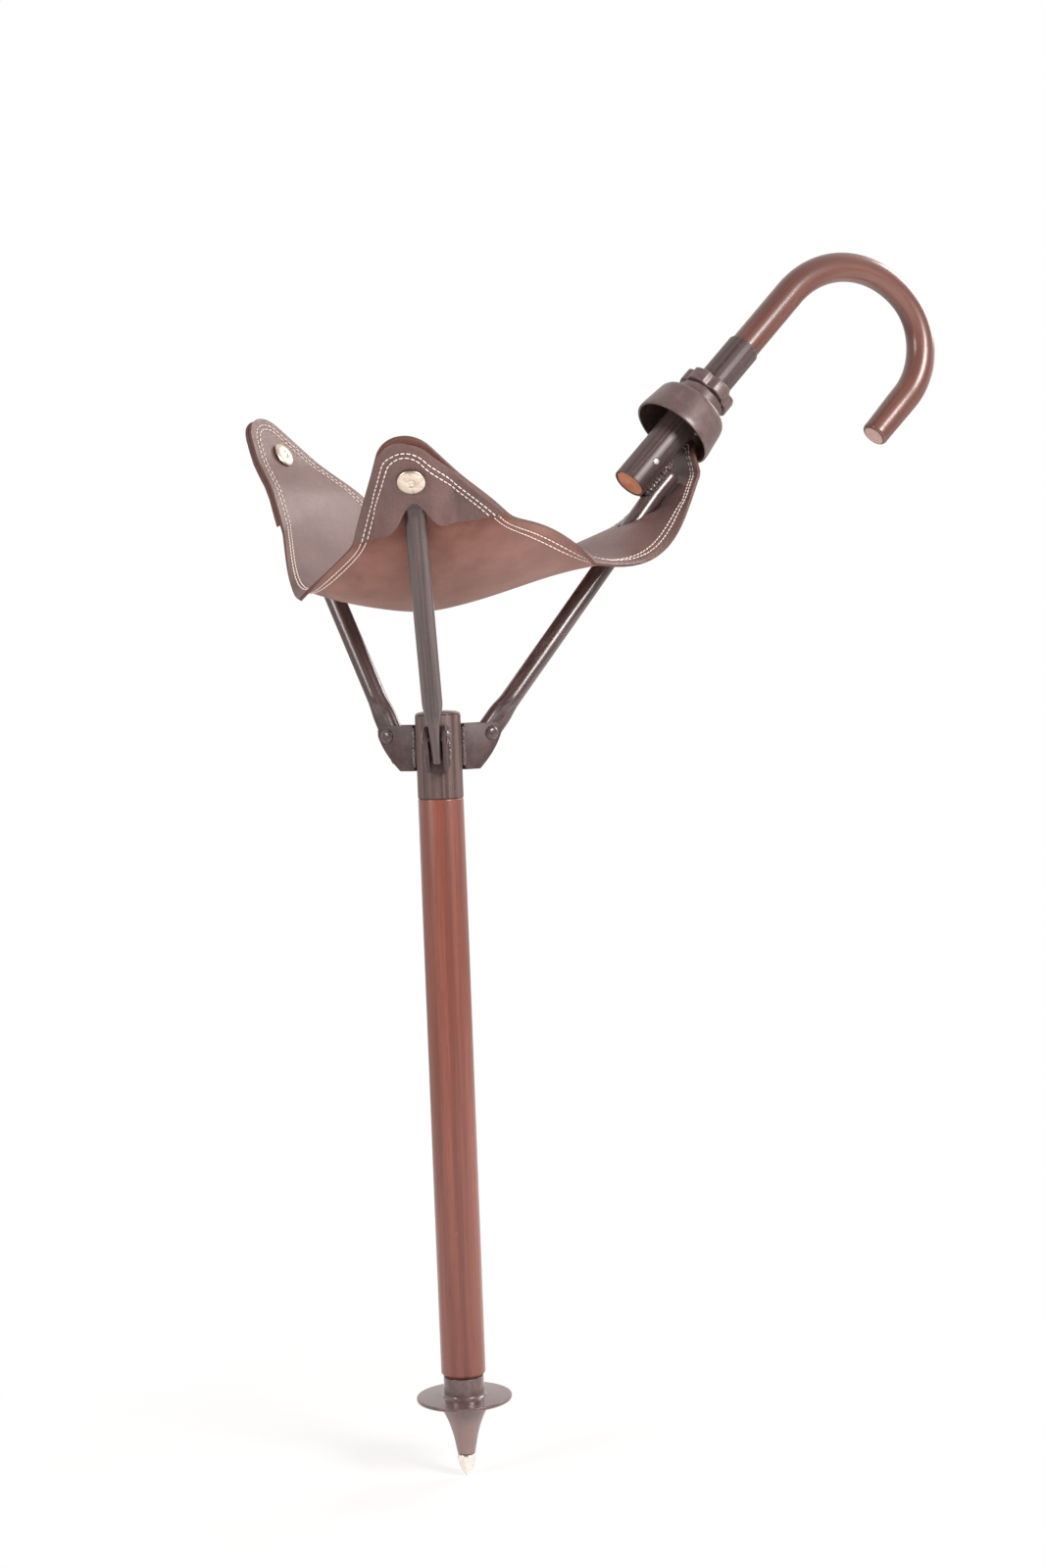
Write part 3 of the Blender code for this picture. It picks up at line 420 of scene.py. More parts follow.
head_paint = coated("black_head", (520, 520, 7), (64, 48, 47), (98, 78, 75), 0.34)
cheek_paint = coated("black_cheek", 140, (53, 37, 37), (76, 56, 55), 0.40)
tube_paint = coated("black_tube", (620, 620, 8), (54, 42, 42), (84, 70, 69), 0.30)

plastic = Finish("black_plastic", "black_plastic", coat_weight=0.25, coat_roughness=0.2)
speck = plastic.noise(2600, 3.0)
graze = plastic.mask(plastic.noise(120, 5.0, 0.65), 0.45, 0.70)
plastic.paint((86, 69, 68), (graze * 0.55, (118, 98, 96)))
plastic.rough(0.32 + speck * 0.12 - graze * 0.05)
plastic.bump(speck, 0.00006)

disc_plastic = Finish("ground_plastic", "black_plastic", coat_weight=0.5, coat_roughness=0.12)
# Painted light: the cone is painted paler towards the bottom, for light bounced up from the floor
floor_bounce_paint = disc_plastic.eased(disc_plastic.metres("Z"), BOUNCE_PAINT_FULL, BOUNCE_PAINT_GONE, 1.0, 0.0)
fleck = disc_plastic.noise((240, 240, 120), 4.0, 0.6)
scuffed = disc_plastic.mask(fleck, 0.40, 0.68) * 0.6
disc_plastic.paint((84, 66, 65), (scuffed, (116, 96, 94)), (floor_bounce_paint * 0.55, (150, 126, 122)))
disc_plastic.rough(0.18 + fleck * 0.14 + floor_bounce_paint * 0.2)
disc_plastic.bump(fleck, 0.00005)

bead_paint = Finish("black_weld", "black_paint", coat_weight=0.9, coat_roughness=0.08, roughness=0.25)
spatter = bead_paint.noise(900, 3.0)
bead_paint.paint((58, 47, 46), (spatter, (96, 82, 80)))
bead_paint.bump(spatter, 0.0009)
print("finishes:", [finish.material.name for finish in (enamel, plastic, disc_plastic, bead_paint)])

# %% [markdown]
# Bare metal. The spike and the pin are polished steel, and the snaps are nickel over brass with a warm
# tone. Both have fine scratches and duller patches, which is what tells metal from grey paint.

# %% Metal finishes
steel = Finish("bright_steel", "bright_steel", metallic=1.0)
turning = steel.noise((300, 300, 5200), 2.0)
smudge = steel.noise(230, 4.0)
steel.paint((226, 220, 212), (smudge, (250, 246, 240)))
steel.rough(0.16 + turning * 0.14 + smudge * 0.1)
steel.bump(turning, 0.00003)

nickel = Finish("nickel_plate", "nickel_plate", metallic=1.0)
tarnish = nickel.noise(420, 5.0, 0.65)
scratch = nickel.noise((300, 5200, 900), 2.0)
nickel.paint((226, 216, 200), (nickel.mask(tarnish, 0.42, 0.72) * 0.6, (168, 148, 118)))
nickel.rough(0.18 + tarnish * 0.2)
nickel.bump(scratch, 0.00003)
print("finishes:", steel.material.name, nickel.material.name)

# %% [markdown]
# Leather. The sling has its smooth, grained side up and its rough flesh side down. The grain is a net of
# small pebbles with creases between them, which the distance to a Voronoi cell's edge draws well. The
# flesh is a short nap. Each leather piece carries its flat pattern as its lay, so the grain keeps to the
# hide when the seat folds, and an attribute named edge: how far a point is from the cut edge. The edge
# draws the rubbed rim and the two grooves that the stitches pull into the hide. Beside the handle arm the
# hide is pinched, so a wave masked to that spot adds wrinkles.

# %% Leather finishes
STITCH_ROWS = (0.0048, 0.0078)
GROOVE_HALF = 0.0011
WRINKLES_ALONG = (0.132, 0.144, 0.166, 0.178)
WRINKLES_ACROSS = (-0.046, -0.036, -0.016, -0.008)


def edge_of(finish):
    return finish.node("ShaderNodeAttribute", {"attribute_name": "edge"}, {}, "Fac")


def grooves(finish):
    """1 along both stitch rows, 0 beside them."""
    edge = edge_of(finish)
    both = 0
    for row in STITCH_ROWS:
        off = (edge - row).math("ABSOLUTE", edge - row, 0)
        near = 1 - off * (1 / GROOVE_HALF)
        both = near.math("MAXIMUM", near, both)
    return both


def window(finish, value, rise, full, fall, gone):
    """1 between full and fall, easing to 0 at rise and at gone."""
    return finish.eased(value, rise, full, 0.0, 1.0) * finish.eased(value, fall, gone, 1.0, 0.0)


shine = {"specular_ior_level": 0.6, "coat_weight": 0.30, "coat_roughness": 0.38}
grain = Finish("leather_grain", "brown_leather", **shine)
pebble = grain.mask(grain.pebbles(0.00115, "DISTANCE_TO_EDGE"), 0.0, 0.22)
crack = 1 - pebble
crease = grain.noise(160, 4.0, 0.6)
mottle = grain.mask(grain.noise(24, 4.0, 0.6), 0.32, 0.70)
rim = grain.ramp(edge_of(grain) * 400, (0.0, 1), (0.55, 0))
sewn = grooves(grain)
coats = [(mottle, (116, 84, 80)), (crack * 0.45, (62, 40, 38)), (sewn * 0.5, (66, 44, 42))]
grain.paint((88, 60, 57), *coats, (rim * 0.3, (112, 74, 66)))
grain.rough(0.34 + crease * 0.16 + crack * 0.1)
pinched = window(grain, grain.metres("X"), *WRINKLES_ALONG)
pinched = pinched * window(grain, grain.metres("Y"), *WRINKLES_ACROSS)
waves = {"Vector": grain.lay((120, 25, 1)), "Scale": 1.0, "Distortion": 2.5}
fold = grain.node("ShaderNodeTexWave", {}, waves)
grain.bump(pebble * 0.35 + crease * 0.5 - sewn * 1.2 - fold * pinched * 1.5, 0.00035)

nappy = {"specular_ior_level": 0.3, "sheen_weight": 0.25, "sheen_roughness": 0.5}
flesh = Finish("leather_flesh", "brown_leather", **nappy)
nap = flesh.noise(1500, 4.0, 0.7)
blot = flesh.noise(30, 5.0, 0.62)
rub = flesh.mask(flesh.noise((70, 180, 70), 5.0, 0.7), 0.60, 0.74)
flesh_sewn = grooves(flesh)
coats = [(flesh.mask(blot, 0.32, 0.68), (148, 102, 88)), (nap * 0.35, (96, 60, 53))]
flesh.paint((120, 76, 64), *coats, (rub * 0.35, (172, 122, 96)), (flesh_sewn * 0.5, (84, 54, 48)))
flesh.rough(0.72 + nap * 0.2)
flesh.bump(nap * 0.5 + blot * 0.4 - flesh_sewn * 1.2, 0.0004)

rind = Finish("leather_cut_edge", "brown_leather", roughness=0.7)
layers = rind.noise(700, 4.0, 0.7)
rind.paint((66, 42, 38), (layers, (104, 70, 62)))
rind.bump(layers, 0.0003)

thread = Finish("cream_thread", "brown_leather", sheen_weight=0.3, roughness=0.7)
twist = thread.noise(2200, 3.0, 0.6)
thread.paint((230, 206, 192), (twist, (255, 246, 238)))
thread.bump(twist, 0.0002)
HIDE = (grain, flesh, rind)
BACK, RIND = 1, 2
print("finishes:", [finish.material.name for finish in (*HIDE, thread)])

# %% [markdown]
# The sizes that the pieces share come next, in metres, as the solids have them. A hinge frame has its
# +Z up the arm and its +X away from the stick, so an arm is modelled once and set in place by a matrix.

# %% Shared sizes and the hinge frames
GAP = 0.0003
HINGE_RADIUS = 0.034
HINGE_Z = 0.4667
HEAD_R = 0.0142
SHAFT_TOP_Z = 0.4275
SHAFT_FOOT_Z = 0.0645
HEAD_TOP_Z = 0.4793
ARM_R = 0.00625
ARM_LENGTH = 0.212
SPADE_THICK = 0.0050
SPADE_LENGTH = 0.031
SPADE_EASE = 0.011
TUBE_R = 0.01125
TUBE_FOOT = 0.1876
TUBE_TOP = 0.3150
LEATHER = 0.0022
BODY = {"handle": "handle_arm", "left": "left_arm", "front": "front_arm"}
TURN = {"handle": 0.0, "left": math.radians(120), "front": math.radians(240)}
SPLAY = {"handle": math.radians(45.8), "left": math.radians(24.5), "front": math.radians(40.5)}

hinge_frame = {}
for side, turn in TURN.items():
    at = Vector((HINGE_RADIUS * math.cos(turn), HINGE_RADIUS * math.sin(turn), HINGE_Z))
    turned = Matrix.Rotation(turn, 4, "Z") @ Matrix.Rotation(SPLAY[side], 4, "Y")
    hinge_frame[side] = Matrix.Translation(at) @ turned
print("hinges at", [tuple(round(value, 4) for value in m.to_translation()) for m in hinge_frame.values()])

# %% [markdown]
# Most of the stick is turned work, or bent from a rod or a tube. Both are rings of points, bridged one to
# the next. A Screw modifier could turn a profile too, but a function can first soften its corners so that
# they catch the light.

# %% Rings, skins and a lathe
LATHE_STEPS = 72
LATHE_WELD = 0.0000005


def circle(count, shift=0.0):
    """Cosine and sine at even steps round a turn."""
    angles = [math.tau * (k + shift) / count for k in range(count)]
    return [(math.cos(a), math.sin(a)) for a in angles]


def softened(profile, ease):
    """The profile with each corner rounded by a short curve."""
    points = [np.array(point, float) for point in profile]
    soft = [points[0]]
    for before, corner, after in zip(points, points[1:], points[2:]):
        back, ahead = np.linalg.norm(before - corner), np.linalg.norm(after - corner)
        reach = min(ease, back * 0.45, ahead * 0.45)
        start = corner + (before - corner) / back * reach
        stop = corner + (after - corner) / ahead * reach
        for s in (0.0, 0.25, 0.5, 0.75, 1.0):
            soft.append(start * (1 - s) ** 2 + corner * 2 * s * (1 - s) + stop * s * s)
    return soft + [points[-1]]


def skin(rings, closed=False, capped=True, bm=None):
    """Rings of points bridged one to the next, with flat ends or with the last joined to the first."""
    bm = bmesh.new() if bm is None else bm
    rows = [[bm.verts.new(point) for point in ring] for ring in rings]
    pairs = list(zip(rows, rows[1:]))
    if closed:
        pairs.append((rows[-1], rows[0]))
    for low, high in pairs:
        for k in range(len(low)):
            after = (k + 1) % len(low)
            bm.faces.new((low[k], low[after], high[after], high[k]))
    if capped and not closed:
        bm.faces.new(rows[0])
        bm.faces.new(rows[-1])
    return bm


def lathe(profile, ease=0.0005, steps=LATHE_STEPS, closed=False):
    """A profile of (radius, height) turned about Z."""
    line = profile + profile[:2] if closed else profile
    soft = softened(line, ease)
    if closed:
        soft = soft[1:-1]
    rings = [[(radius * c, radius * s, height) for c, s in circle(steps)] for radius, height in soft]
    bm = skin(rings, closed=closed, capped=False)
    bmesh.ops.remove_doubles(bm, verts=bm.verts, dist=LATHE_WELD)
    return bm


print("lathe:", LATHE_STEPS, "steps to a turn")

# %% [markdown]
# Every piece goes through one function. It smooths the faces up to a sharp angle, gives the mesh its
# finish and its lay, and sets the piece on its body in the frame, in place of the solid that it dresses.

# %% A piece of the part
SHARP_ANGLE = math.radians(38)
RIGHT_ANGLE = math.radians(90)


def dress(made, finishes):
    for finish in finishes:
        made.data.materials.append(finish.material)


def piece(name, bm, finishes, body=None, node=None, place=None, lay=None):
    """A mesh in the scene: smooth, finished, on its body, and standing for its solid."""
    bmesh.ops.recalc_face_normals(bm, faces=bm.faces)
    if lay is None:
        lay = [vert.co.copy() for vert in bm.verts]
    if place is not None:
        bmesh.ops.transform(bm, matrix=place, verts=bm.verts)
    made = as_object(name, bm)
    made.data.shade_smooth()
    made.data.set_sharp_from_angle(angle=SHARP_ANGLE)
    grain_lay = made.data.attributes.new("lay", "FLOAT_VECTOR", "POINT")
    grain_lay.data.foreach_set("vector", np.array(lay, np.float32).ravel())
    dress(made, finishes)
    if body:
        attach(made, body)
    if node:
        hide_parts(node)
    return made


print("edges under", round(math.degrees(SHARP_ANGLE)), "degrees are smooth")

# %% [markdown]
# The ground end: a bullet-shaped steel spike on a stud, under a moulded disc that stops the stick from
# sinking in. Both are turned, so both are profiles. The cone under the disc is hollow-sided: its radius
# grows slowly and then quickly with height.

# %% Spike, ground disc and shaft
SPIKE_LENGTH = 0.0142
SPIKE_R = 0.0059
STUD_R = 0.0030
STUD_GRIP = 0.026
CONE_FOOT_R = 0.0056
CONE_TOP_R = 0.0185
DISC_R = 0.030
DISC_TOP_Z = 0.0512
DISC_FOOT_Z = 0.0490
COLLAR_R = 0.0126
COLLAR_TOP_Z = 0.0642
COLLAR_FILLET = 0.0015
CONE_CELLS = 12

stud_top = COLLAR_TOP_Z + STUD_GRIP
stud_bore = STUD_R + GAP
spike = [(0, stud_top), (STUD_R, stud_top), (STUD_R, SPIKE_LENGTH), (SPIKE_R, SPIKE_LENGTH)]
spike += [(SPIKE_R, SPIKE_LENGTH * 0.86)]
spike += [(SPIKE_R * 0.86, SPIKE_LENGTH * 0.58), (SPIKE_R * 0.55, SPIKE_LENGTH * 0.25)]
spike += [(SPIKE_R * 0.16, SPIKE_LENGTH * 0.015), (0, 0)]
piece("spike", lathe(spike, 0.0012), [steel], "stick", "ground_spike")

cone_foot_z = SPIKE_LENGTH + GAP
cone = []
for k in range(CONE_CELLS + 1):
    s = k / CONE_CELLS
    flare = CONE_FOOT_R + (CONE_TOP_R - CONE_FOOT_R) * (0.45 * s + 0.55 * s**3)
    cone.append((flare, cone_foot_z + (DISC_FOOT_Z - cone_foot_z) * s))
disc = [(stud_bore, COLLAR_TOP_Z), (COLLAR_R, COLLAR_TOP_Z), (COLLAR_R, DISC_TOP_Z + COLLAR_FILLET)]
disc += [(COLLAR_R + COLLAR_FILLET, DISC_TOP_Z), (DISC_R, DISC_TOP_Z), (DISC_R, DISC_FOOT_Z)]
disc += cone[::-1] + [(stud_bore, cone_foot_z)]
piece("disc", lathe(disc, 0.0008, closed=True), [disc_plastic], "stick", "ground_disc")

SHAFT_TOP_R = 0.0142
SHAFT_FOOT_R = 0.0140
SHAFT_EDGE = 0.0018
SPIGOT_R = 0.0121
SPIGOT_LENGTH = 0.034
spigot_top = SHAFT_TOP_Z + SPIGOT_LENGTH
shaft = [(0, spigot_top), (SPIGOT_R, spigot_top), (SPIGOT_R, SHAFT_TOP_Z), (SHAFT_TOP_R, SHAFT_TOP_Z)]
shaft += [(SHAFT_FOOT_R, SHAFT_FOOT_Z + SHAFT_EDGE), (SHAFT_FOOT_R - SHAFT_EDGE, SHAFT_FOOT_Z)]
shaft += [(stud_bore, SHAFT_FOOT_Z), (stud_bore, stud_top + GAP), (0, stud_top + GAP)]
piece("turned_shaft", lathe(shaft, 0.0008), [wood], "stick", "shaft")
print("foot: disc", 2000 * DISC_R, "mm across, shaft", round(1000 * (SHAFT_TOP_Z - SHAFT_FOOT_Z)), "mm")

# %% [markdown]
# The head is a short steel tube over the top of the stick, with a domed plug pressed into it. Both are
# turned, so both are profiles again. The tube's profile is closed, which leaves its bore open.

# %% Head tube and plug
HEAD_BORE_R = 0.0124
PLUG_R = 0.0115
PLUG_DEPTH = 0.012
# The plug's dome: share of the head's radius, rise
PLUG_DOME = ((0.0, 0.0026), (0.45, 0.0024), (0.80, 0.0018), (0.96, 0.0009), (1.0, 0.0))

head_foot = SHAFT_TOP_Z + GAP
head = [(HEAD_BORE_R, HEAD_TOP_Z), (HEAD_R, HEAD_TOP_Z), (HEAD_R, head_foot), (HEAD_BORE_R, head_foot)]
piece("head", lathe(head, 0.0004, closed=True), [head_paint], "stick", "head_tube")
plug_foot = HEAD_TOP_Z + GAP
plug = [(share * HEAD_R, plug_foot + rise) for share, rise in PLUG_DOME]
plug += [(PLUG_R, plug_foot), (PLUG_R, plug_foot - PLUG_DEPTH), (0, plug_foot - PLUG_DEPTH)]
piece("plug", lathe(plug, 0.001), [plastic], "stick", "head_plug")
print("head:", round(1000 * (HEAD_TOP_Z - head_foot)), "mm of tube,", round(2000 * HEAD_R, 1), "mm across")

# %% [markdown]
# Three channel brackets stand round the head and hold the arms' hinges. A bracket is a flat outline given
# depth, with a slot through it for the arm. It could be three plates set together, but a Boolean that cuts
# the slot out of one block leaves no seams, and a Bevel then rounds every edge alike.

# %% Brackets
CHEEK_THICK = 0.0025
CHEEK_SPACE = 0.0085
CHEEK_REACH = 0.0070
CHEEK_RISE = 0.0066
CHEEK_DROP = 0.0220
CHEEK_TAPER = 0.33
CHEEK_CELLS = 16
CHEEK_EASE = 0.0005
CHEEK_SLOT_HEIGHT = 0.12
WEB_INNER = HEAD_R + GAP
WEB_OUTER = WEB_INNER + 0.0025
CHEEK_OUTER = HINGE_RADIUS + CHEEK_REACH
CHEEK_HALF = CHEEK_SPACE / 2 + CHEEK_THICK


def applied(obj):
    """A new mesh with the object's modifiers worked in. The object goes."""
    graph = bpy.context.evaluated_depsgraph_get()
    data = bpy.data.meshes.new_from_object(obj.evaluated_get(graph))
    bpy.data.objects.remove(obj, do_unlink=True)
    bm = bmesh.new()
    bm.from_mesh(data)
    return bm


def cut_out(obj, tool):
    """Takes a second object's shape out of the first."""
    obj.modifiers.new("Slot", "BOOLEAN").object = tool


def rounded(obj, width):
    """Rounds an object's edges."""
    soft = obj.modifiers.new("Edges", "BEVEL")
    soft.width = width
    soft.segments = 2
    return soft


def channel():
    """A bracket along +X, from its web out to its tapered cheeks."""
    edge = [(WEB_INNER, CHEEK_RISE), (CHEEK_OUTER - 0.3 * CHEEK_REACH, CHEEK_RISE)]
    edge.append((CHEEK_OUTER, 0.6 * CHEEK_RISE))
    for k in range(CHEEK_CELLS + 1):
        share = k / CHEEK_CELLS
        reach = 1 - CHEEK_TAPER * share * (1 + share)
        edge.append((WEB_OUTER + (CHEEK_OUTER - WEB_OUTER) * reach, -CHEEK_DROP * share))
    edge.append((WEB_INNER, -CHEEK_DROP))
    body = skin([[(x, y, HINGE_Z + z) for x, z in edge] for y in (-CHEEK_HALF, CHEEK_HALF)])
    bmesh.ops.recalc_face_normals(body, faces=body.faces)
    bracket = as_object("bracket", body)
    reach = 2 * CHEEK_OUTER - WEB_OUTER
    slot_place = Matrix.Translation((WEB_OUTER + reach / 2, 0, HINGE_Z))
    slot_place @= Matrix.Diagonal((reach, CHEEK_SPACE, CHEEK_SLOT_HEIGHT, 1))
    slot_bm = bmesh.new()
    bmesh.ops.create_cube(slot_bm, size=1.0, matrix=slot_place)
    slot = as_object("slot", slot_bm)
    cut_out(bracket, slot)
    rounded(bracket, CHEEK_EASE)
    made = applied(bracket)
    bpy.data.objects.remove(slot, do_unlink=True)
    return made


print("brackets:", round(2000 * CHEEK_HALF, 1), "mm wide over a slot of", 1000 * CHEEK_SPACE, "mm")

# %% [markdown]
# A rivet holds each arm between its cheeks, and welds hold each bracket to the head. A weld is a bead: a
# short rod whose radius swells and shrinks, laid in the corner that it fills. A bump texture would leave
# the corner sharp in outline, so the beads are meshes.

# %% Rivets and welds
PIVOT_R = 0.0030
PIVOT_HEAD_R = 0.0048
PIVOT_HEAD = 0.0018
BEAD_R = 0.0017
BEAD_SIDES = 12


def bead(name, path, radius, ripples, body, place=None):
    """A weld: a rod along the path that swells and shrinks as the welder's hand moved."""
    steps = 6 * ripples
    start, stop = Vector(path[0]), Vector(path[1])
    along = (stop - start).normalized()
    side_way = along.orthogonal().normalized()
    other = along.cross(side_way)
    rings = []
    for k in range(steps + 1):
        s = k / steps
        wave = abs(math.sin(math.pi * ripples * s))
        close = min(1.0, 8 * s, 8 * (1 - s)) ** 0.5
        swell = radius * max(0.15, close) * (0.80 + 0.22 * wave + 0.05 * math.sin(9.1 * k))
        middle = start.lerp(stop, s) + side_way * radius * 0.12 * math.sin(2.3 * k)
        rings.append([middle + (side_way * c + other * q) * swell for c, q in circle(BEAD_SIDES)])
    return piece(name, skin(rings), [bead_paint], body, place=place)


rivet_foot = CHEEK_HALF + GAP
rivet_top = rivet_foot + PIVOT_HEAD
rivet = [(0, rivet_top), (0.55 * PIVOT_HEAD_R, rivet_top - 0.18 * PIVOT_HEAD)]
rivet += [(PIVOT_HEAD_R, rivet_foot), (PIVOT_R, rivet_foot)]
rivet += [(radius, -height) for radius, height in rivet[::-1]]
for side, turn in TURN.items():
    about = Matrix.Rotation(turn, 4, "Z")
    piece("cheeks_" + side, channel(), [cheek_paint], "stick", "bracket_" + side, about)
    hinge_at = Matrix.Translation((HINGE_RADIUS, 0, HINGE_Z))
    through = about @ hinge_at @ Matrix.Rotation(RIGHT_ANGLE, 4, "X")
    piece("rivet_" + side, lathe(rivet, 0.0008, 36), [enamel], "stick", "pivot_rivet_" + side, through)
    for sign, hand in ((1, "a"), (-1, "b")):
        corner = (WEB_INNER - 0.0010, sign * (CHEEK_HALF + 0.0002))
        path = [(*corner, HINGE_Z - 0.9 * CHEEK_DROP), (*corner, HINGE_Z + 0.8 * CHEEK_RISE)]
        bead("weld_" + side + "_" + hand, path, BEAD_R, 8, "stick", about)
print("rivets:", round(2000 * rivet_top, 1), "mm long, with two weld beads to a bracket")

# %% [markdown]
# The arms are round tube. At the hinge each is pressed flat between the cheeks, and the two plain arms
# are pressed flat the other way at the top, where they slide into the pockets of the sling. A section
# that is a circle pulled apart along one axis covers all three, so an arm is one skin over its rings.

# %% Arms
LUG_THICK = 0.0070
LUG_RISE = 0.0130
LUG_EASE = 0.0140
STOP_SPLAY = math.radians(41.3)
ARM_BEND = 0.195
BEND_EASE = 0.010
HANDLE_ARM_TOP = 0.2145
ARM_WALL = 0.0012
END_EASE = 0.0012
ARM_SIDES = 36
ARM_CELLS = 80
ARM_HOLLOW = 0.02
LUG_FLAT = math.pi * (ARM_R - LUG_THICK / 2) / 2
SPADE_FLAT = math.pi * (ARM_R - SPADE_THICK / 2) / 2
TAIL = HINGE_RADIUS - WEB_OUTER - GAP - (LUG_FLAT + LUG_THICK / 2) * math.cos(STOP_SPLAY)
TAIL /= math.sin(STOP_SPLAY)
ARM_X = TUBE_R + GAP + ARM_R - HINGE_RADIUS
ARM_LEAN = math.atan(-ARM_X / ARM_BEND)
SPADE_FOOT = ARM_LENGTH - SPADE_LENGTH


def smooth(start, stop, x):
    s = min(1.0, max(0.0, (x - start) / (stop - start)))
    return s * s * (3 - 2 * s)


def arm_section(t, spade, shrink):
    """The arm's outline at t up it: a circle pulled apart at the lug and at the spade."""
    lug = 1 - smooth(LUG_RISE, LUG_RISE + LUG_EASE, t)
    press = smooth(SPADE_FOOT - SPADE_EASE, SPADE_FOOT, t) if spade else 0.0
    radius = ARM_R + (LUG_THICK / 2 - ARM_R) * lug + (SPADE_THICK / 2 - ARM_R) * press - shrink
    outline = []
    for c, s in circle(ARM_SIDES, 0.5):
        x = radius * c + math.copysign(LUG_FLAT * lug, c)
        y = radius * s + math.copysign(SPADE_FLAT * press, s)
        outline.append((x, y))
    return outline


def arm_middle(t, side):
    """Where the arm's axis is at t up it, and its lean: the handle arm leans in, then runs straight."""
    if side != "handle":
        return 0.0, t, 0.0
    bend = ARM_BEND / math.cos(ARM_LEAN)
    lean = ARM_LEAN * (1 - smooth(bend - BEND_EASE, bend + BEND_EASE, t))
    if t <= bend:
        return -t * math.sin(ARM_LEAN), t * math.cos(ARM_LEAN), lean
    return ARM_X, ARM_BEND + t - bend, lean


def arm_ring(t, side, shrink=0.0):
    x0, z0, lean = arm_middle(t, side)
    outline = arm_section(t, side != "handle", shrink)
    return [(x0 + x * math.cos(lean), y, z0 + x * math.sin(lean)) for x, y in outline]


handle_top = ARM_BEND / math.cos(ARM_LEAN) + HANDLE_ARM_TOP - ARM_BEND
for side in TURN:
    top = handle_top if side == "handle" else ARM_LENGTH
    rings = []
    for rise in (0.0, 0.13 * END_EASE, 0.5 * END_EASE):
        shrink = END_EASE - math.sqrt(END_EASE**2 - (END_EASE - rise) ** 2)
        rings.append(arm_ring(rise - TAIL, side, shrink))
    for t in np.linspace(END_EASE - TAIL, top - END_EASE / 2, ARM_CELLS):
        rings.append(arm_ring(float(t), side))
    rings.append(arm_ring(top, side, END_EASE / 3))
    rings.append(arm_ring(top, side, ARM_WALL))
    rings.append(arm_ring(top - ARM_HOLLOW, side, ARM_WALL))
    piece("tube_arm_" + side, skin(rings), [enamel], BODY[side], "arm_" + side, hinge_frame[side])
lean_degrees = round(math.degrees(ARM_LEAN), 1)
print("arms:", round(1000 * ARM_LENGTH), "mm of 12.5 mm tube, handle arm leans", lean_degrees, "degrees")

# %% [markdown]
# The handle is a short steel tube welded beside its arm, with the crook's straight end glued into it. The
# tube is turned as the head was, and the raw end of the rod that shows in its foot is a plain disc.

# %% Handle tube
CORE_LENGTH = 0.03
TUBE_BORE_R = TUBE_R - 0.0012

on_tube = hinge_frame["handle"] @ Matrix.Translation((-HINGE_RADIUS, 0, 0))
tube = [(TUBE_R, TUBE_TOP), (TUBE_R, TUBE_FOOT), (TUBE_BORE_R, TUBE_FOOT), (TUBE_BORE_R, TUBE_TOP)]
piece("socket_tube", lathe(tube, 0.0004, closed=True), [tube_paint], "handle_arm", "handle_tube", on_tube)
core_r, core_foot, core_top = TUBE_BORE_R - GAP, TUBE_FOOT + GAP, TUBE_FOOT + CORE_LENGTH
core = [(0, core_top), (core_r, core_top), (core_r, core_foot), (0, core_foot)]
piece("raw_end", lathe(core, 0.0003), [raw_wood], "handle_arm", place=on_tube)
print("handle tube:", round(1000 * (TUBE_TOP - TUBE_FOOT)), "mm long")

# %% [markdown]
# The crook is steam-bent from one rod, so its rings follow a straight, two quarter bends, the first one
# wider, and a short tip. A curve with a bevel would make the same shape, but a skin over rings gives every
# point its place along the rod, so the lay and the streaks follow the bends.

# %% Crook
CROOK_R = 0.0100
CROOK_TIP_R = 0.0093
CROOK_WAIST = 0.0011
CROOK_RISE_R = 0.0668
CROOK_FALL_R = 0.0464
CROOK_SPRING = 0.3692
CROOK_TIP = 0.0392
CROOK_SIDES = 40
CROOK_CELLS = 100
TIP_EASE = 0.0022


def crook_place(s):
    """Middle and heading of the crook at s along it, in X and Z."""
    shoulder = TUBE_TOP + GAP
    straight = CROOK_SPRING - shoulder
    if s <= straight:
        return (0, shoulder + s), (0, 1)
    top = CROOK_SPRING + CROOK_RISE_R
    rise = math.pi / 2 * CROOK_RISE_R
    fall = math.pi / 2 * CROOK_FALL_R
    s -= straight
    if s <= rise + fall:
        bend = CROOK_RISE_R if s <= rise else CROOK_FALL_R
        a = math.pi / 2 + (s - rise) / bend
        middle = (CROOK_RISE_R - bend * math.cos(a), top - bend + bend * math.sin(a))
        return middle, (math.sin(a), math.cos(a))
    return (CROOK_RISE_R + CROOK_FALL_R, top - CROOK_FALL_R - (s - rise - fall)), (0, -1)


